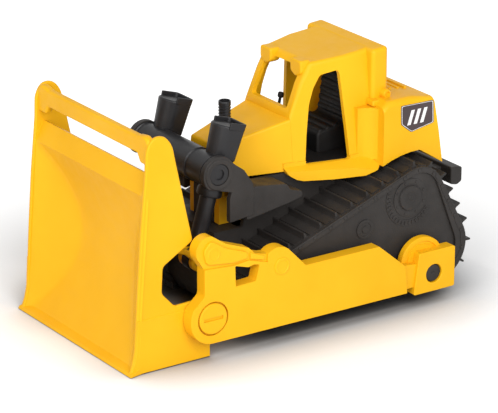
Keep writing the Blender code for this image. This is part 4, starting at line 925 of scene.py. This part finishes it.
# %% Label
LABEL_DARK = moulded("label_dark", (0.030, 0.014, 0.016), (0.040, 0.020, 0.021), (0.30, 0.38), 2600,
                     0.1)
LABEL_PALE = moulded("label_pale", (0.74, 0.73, 0.72), (0.80, 0.79, 0.78), (0.34, 0.42), 2600, 0.1)
FIELD_FACE, MARK_FACE = TANK_HALF + 0.14, TANK_HALF + 0.19
shield = rounded([(160.8, 97.0), (180.2, 96.6), (180.6, 85.3), (167, 82.8), (161, 87.6)], 0.9, 4)
middle = Vector((170.5, 90.4))
inside, line = [[tuple(middle + (Vector(spot) - middle) * share) for spot in shield]
                for share in (0.93, 0.96)]
field = soft(plate(shield, TANK_HALF - 0.3, FIELD_FACE), 0.06, 2)
show("label_field", field, LABEL_DARK, "chassis", "body_shell")
marks = [plate(line, TANK_HALF, MARK_FACE, [inside])]
for start in (164.6, 168.4, 172.2):
    slanted = [(start, 86.6), (start + 2, 86.6), (start + 4.4, 93.8), (start + 2.4, 93.8)]
    marks.append(plate(slanted, TANK_HALF, MARK_FACE))
show("label_marks", joined(*marks), LABEL_PALE, "chassis", "body_shell")

# %% [markdown]
# ## Exhaust
# The stack is a short ribbed pipe with an open end. Its ribs are a repeated bump in the half
# profile, so one spin makes them all.

# %% Exhaust
PIPE_LOW, PIPE_TOP, PIPE, RIB_PITCH = 90.0, 103.5, 2.75, 1.5
profile = [(PIPE_LOW - 5, 0), (PIPE_LOW - 5, 2.2), (PIPE_LOW, 2.2), (PIPE_LOW, 3.0), (PIPE_LOW + 1.2, 3.0)]
for i in range(7):
    foot_z = PIPE_LOW + 1.4 + i * RIB_PITCH
    profile += [(foot_z, PIPE), (foot_z + 0.7, PIPE), (foot_z + 0.9, 3.0), (foot_z + 1.3, 3.0)]
profile += [(PIPE_TOP - 0.9, 3.0), (PIPE_TOP - 0.2, 2.95), (PIPE_TOP, 2.7), (PIPE_TOP - 0.2, 2.3),
            (PIPE_TOP - 6, 2.2), (PIPE_TOP - 6, 0)]
show("exhaust_stack", spun(profile, point(0, STACK, 0), UP, 40), SATIN, "chassis", "exhaust_stack")

# %% [markdown]
# ## Cab inside
# Through the door one sees a black tub: a floor, a sloping dash with two levers, and a seat
# whose cushion and back have rolled ribs. The ribs are spun rolls, sunk into the seat.

# %% Seat and dash
FLOOR = 69.5
cab_parts = [soft(hull([(s, FLOOR, FLOOR + 2.5) for s in (116, BEND, 150)], BODY_WALL + 0.6), 0.5)]
seat = rounded([(130.5, 70.5), (152.5, 70.5), (155.5, 106), (150.5, 107), (147.4, 84.5), (130.5, 82)], 2.2)
cab_parts.append(soft(plate(seat, -12, 12), 1.6, 4))
ROLL = rounded([(-11.5, 0), (-11.5, 2.1), (11.5, 2.1), (11.5, 0)], 1.2, 4, closed=False)
for i in range(5):
    cab_parts.append(rolled(ROLL, 0, (149.1 + 0.62 * i, 86.8 + 4.3 * i), 20))
for i in range(3):
    cab_parts.append(rolled(ROLL, 0, (133.6 + 4.4 * i, 81.2 + 0.6 * i), 20))
dash = rounded([(117.5, 70.5), (123, 70.5), (122.6, 84), (122, 90), (117.5, 94)], 1.4)
cab_parts.append(soft(plate(dash, -14, 14), 1.0, 3))
LEVER = [(0, 0.9), (9, 0.7), (9, 1.2), (9.6, 1.5), (11, 1.5), (11.6, 1.1), (11.7, 0)]
for x in (-6, 6):
    cab_parts.append(spun(LEVER, point(x, 119.4, 88), (0, 0.25, 1), 16))
show("cab_interior", joined(*cab_parts), INSIDE, "chassis", "cab_interior")

# %% [markdown]
# ## Chassis, hitch and screws
# The tub below is best taken from the CAD itself, because every hole in it matters. Its mesh is
# loose triangles, so a copy is merged and its flat faces dissolved before the edges are
# bevelled. A thin black panel over the nose behind the cylinders is painted shade: it stands for
# the shadow there. The rear beam and the screws are small enough to model again.

# %% Chassis from its CAD mesh
tub = bmesh.new()
tub.from_mesh(frame["nodes"]["chassis"].data)
bmesh.ops.remove_doubles(tub, verts=tub.verts[:], dist=MERGE)
bmesh.ops.dissolve_limit(tub, angle_limit=math.radians(2), verts=tub.verts[:], edges=tub.edges[:])
soft(tub, 0.35, 2, angle=40)
# Painted shade: a thin black panel over the nose front stands for the shadow behind the cylinders.
nose_shade_panel = soft(block((-8.4, 8.4), (HOOD_FRONT - 0.8, HOOD_FRONT + 0.3), (47.4, 80)), 0.4)
show("chassis", joined(tub, nose_shade_panel), BLACK, "chassis", "chassis")

# %% Hitch and screws
beam_end = rounded([(206, 52), (213, 51), (213, 43.5), (210, 42), (206, 43)], 1.0)
hitch = [soft(plate(beam_end, -20, 20), 0.8)]
for x in ((6, 12), (-12, -6)):
    hitch.append(soft(block(x, (192.3, 210), (44.5, 50)), 0.6))
show("rear_hitch", joined(*hitch), BLACK, "chassis", "rear_hitch")
SCREWS = {"front": (97.0, 9.0), "rear": (172.0, 12.0)}
HEAD_TOP = 6.7
screw = [(-1.5, 0), (-1.5, 2.2), (-1.1, 2.7), (0, 2.8), (0, 1.2), (8, 1.2), (9, 0.4), (9, 0)]
for end, (station, x) in SCREWS.items():
    shape = spun(screw, point(x, station, HEAD_TOP), UP, 28)
    cross_slot = [block((x - a, x + a), (station - b, station + b), (HEAD_TOP - 2, HEAD_TOP - 0.7))
                  for a, b in ((1.7, 0.35), (0.35, 1.7))]
    show_sides(f"screw_{end}_{{}}", carved(shape, *cross_slot), STEEL, "chassis")

# %% [markdown]
# ## Floor and light
# The toy stands on a seamless white table, which takes its shadow. A stronger lamp would turn the
# table white, but it would bleach the toy too. So the table and the sky are brighter only for
# rays that look at them, and the table's glow starts a little away from the toy. Ambient
# occlusion deepens the soft shadow where the toy touches. A large soft lamp stands to the right
# of the camera, and another fills from the front.

# %% Floor and sky
NEAR, FAR, GLOW = 0.10, 0.26, 0.45
CONTACT, TABLE = 0.035, 0.8
SKY = 0.5


def maths(tree, operation, *values):
    """Math node fed with sockets or plain numbers."""
    node = tree.nodes.new("ShaderNodeMath")
    node.operation = operation
    for socket, value in zip(node.inputs, values):
        if isinstance(value, bpy.types.NodeSocket):
            tree.links.new(value, socket)
        else:
            socket.default_value = value
    return node.outputs["Value"]


def looked_at(tree):
    """1 where the eye sees a surface straight, mirrored or through glass, and 0 for other light."""
    path = tree.nodes.new("ShaderNodeLightPath")
    mirrored = maths(tree, "MAXIMUM", path.outputs["Is Camera Ray"], path.outputs["Is Glossy Ray"])
    return maths(tree, "MAXIMUM", mirrored, path.outputs["Is Transmission Ray"])


floor = bmesh.new()
bmesh.ops.create_grid(floor, x_segments=1, y_segments=1, size=6)
ground = as_object("floor", floor)
PAPER, tree, shader = new_finish("white_table")
ground.data.materials.append(PAPER)
dial(shader, Roughness=0.9, Specular_IOR_Level=0.0, Emission_Color=(1, 1, 1, 1))
where = tree.nodes.new("ShaderNodeTexCoord")
away = tree.nodes.new("ShaderNodeVectorMath")
away.operation = "LENGTH"
tree.links.new(where.outputs["Object"], away.inputs[0])
fade = tree.nodes.new("ShaderNodeMapRange")
dial(fade, From_Min=NEAR, From_Max=FAR, To_Min=0.0, To_Max=GLOW)
tree.links.new(away.outputs["Value"], fade.inputs["Value"])
seen = looked_at(tree)
tree.links.new(maths(tree, "MULTIPLY", seen, fade.outputs["Result"]), shader.inputs["Emission Strength"])
tucked = tree.nodes.new("ShaderNodeAmbientOcclusion")
dial(tucked, Distance=CONTACT)
tree.links.new(maths(tree, "MULTIPLY_ADD", seen, 1 - TABLE, TABLE), tucked.inputs["Color"])
tree.links.new(tucked.outputs["Color"], shader.inputs["Base Color"])
bpy.context.scene.world = bpy.data.worlds.new("studio")
bpy.context.scene.world.use_nodes = True
tree = bpy.context.scene.world.node_tree
sky = tree.nodes["Background"]
dial(sky, Color=(1, 1, 1, 1))
tree.links.new(maths(tree, "MULTIPLY_ADD", looked_at(tree), 1 - SKY, SKY), sky.inputs["Strength"])
print("floor and sky")

# %% Lamps
LAMP_AIM = Vector((0, 0, 0.05))


def lamp(name, place, size, watts):
    light = bpy.data.lights.new(name, "AREA")
    light.size = size
    light.energy = watts
    made = bpy.data.objects.new(name, light)
    made.location = place
    made.rotation_euler = (LAMP_AIM - Vector(place)).to_track_quat("-Z", "Y").to_euler()
    bpy.context.scene.collection.objects.link(made)


lamp("key", (1.1, -0.25, 0.75), size=0.8, watts=13)
lamp("fill", (0.55, -1.15, 0.5), size=0.9, watts=9)
print("stage ready")

# %% [markdown]
# ## Camera
# The photograph was taken with a long lens from the front left, a little above. The view is
# given by an azimuth, an elevation and a distance from a point inside the toy, which are easier
# to judge than a raw position.

# %% Camera
AIM = Vector((0, -0.00704, 0.04734))
AZIMUTH, ELEVATION, DISTANCE = math.radians(55.9), math.radians(20.3), 1.43743
LENS = 216.87
back = Vector((math.cos(ELEVATION) * math.sin(AZIMUTH), -math.cos(ELEVATION) * math.cos(AZIMUTH),
               math.sin(ELEVATION)))
camera = bpy.data.objects.new("camera", bpy.data.cameras.new("camera"))
camera.data.lens = LENS
camera.data.sensor_width = 36
camera.data.sensor_fit = "HORIZONTAL"
camera.location = AIM + back * DISTANCE
camera.rotation_euler = (-back).to_track_quat("-Z", "Y").to_euler()
bpy.context.scene.collection.objects.link(camera)
bpy.context.scene.camera = camera
bpy.context.scene.view_settings.view_transform = "Standard"
print("camera at", [round(value, 3) for value in camera.location])
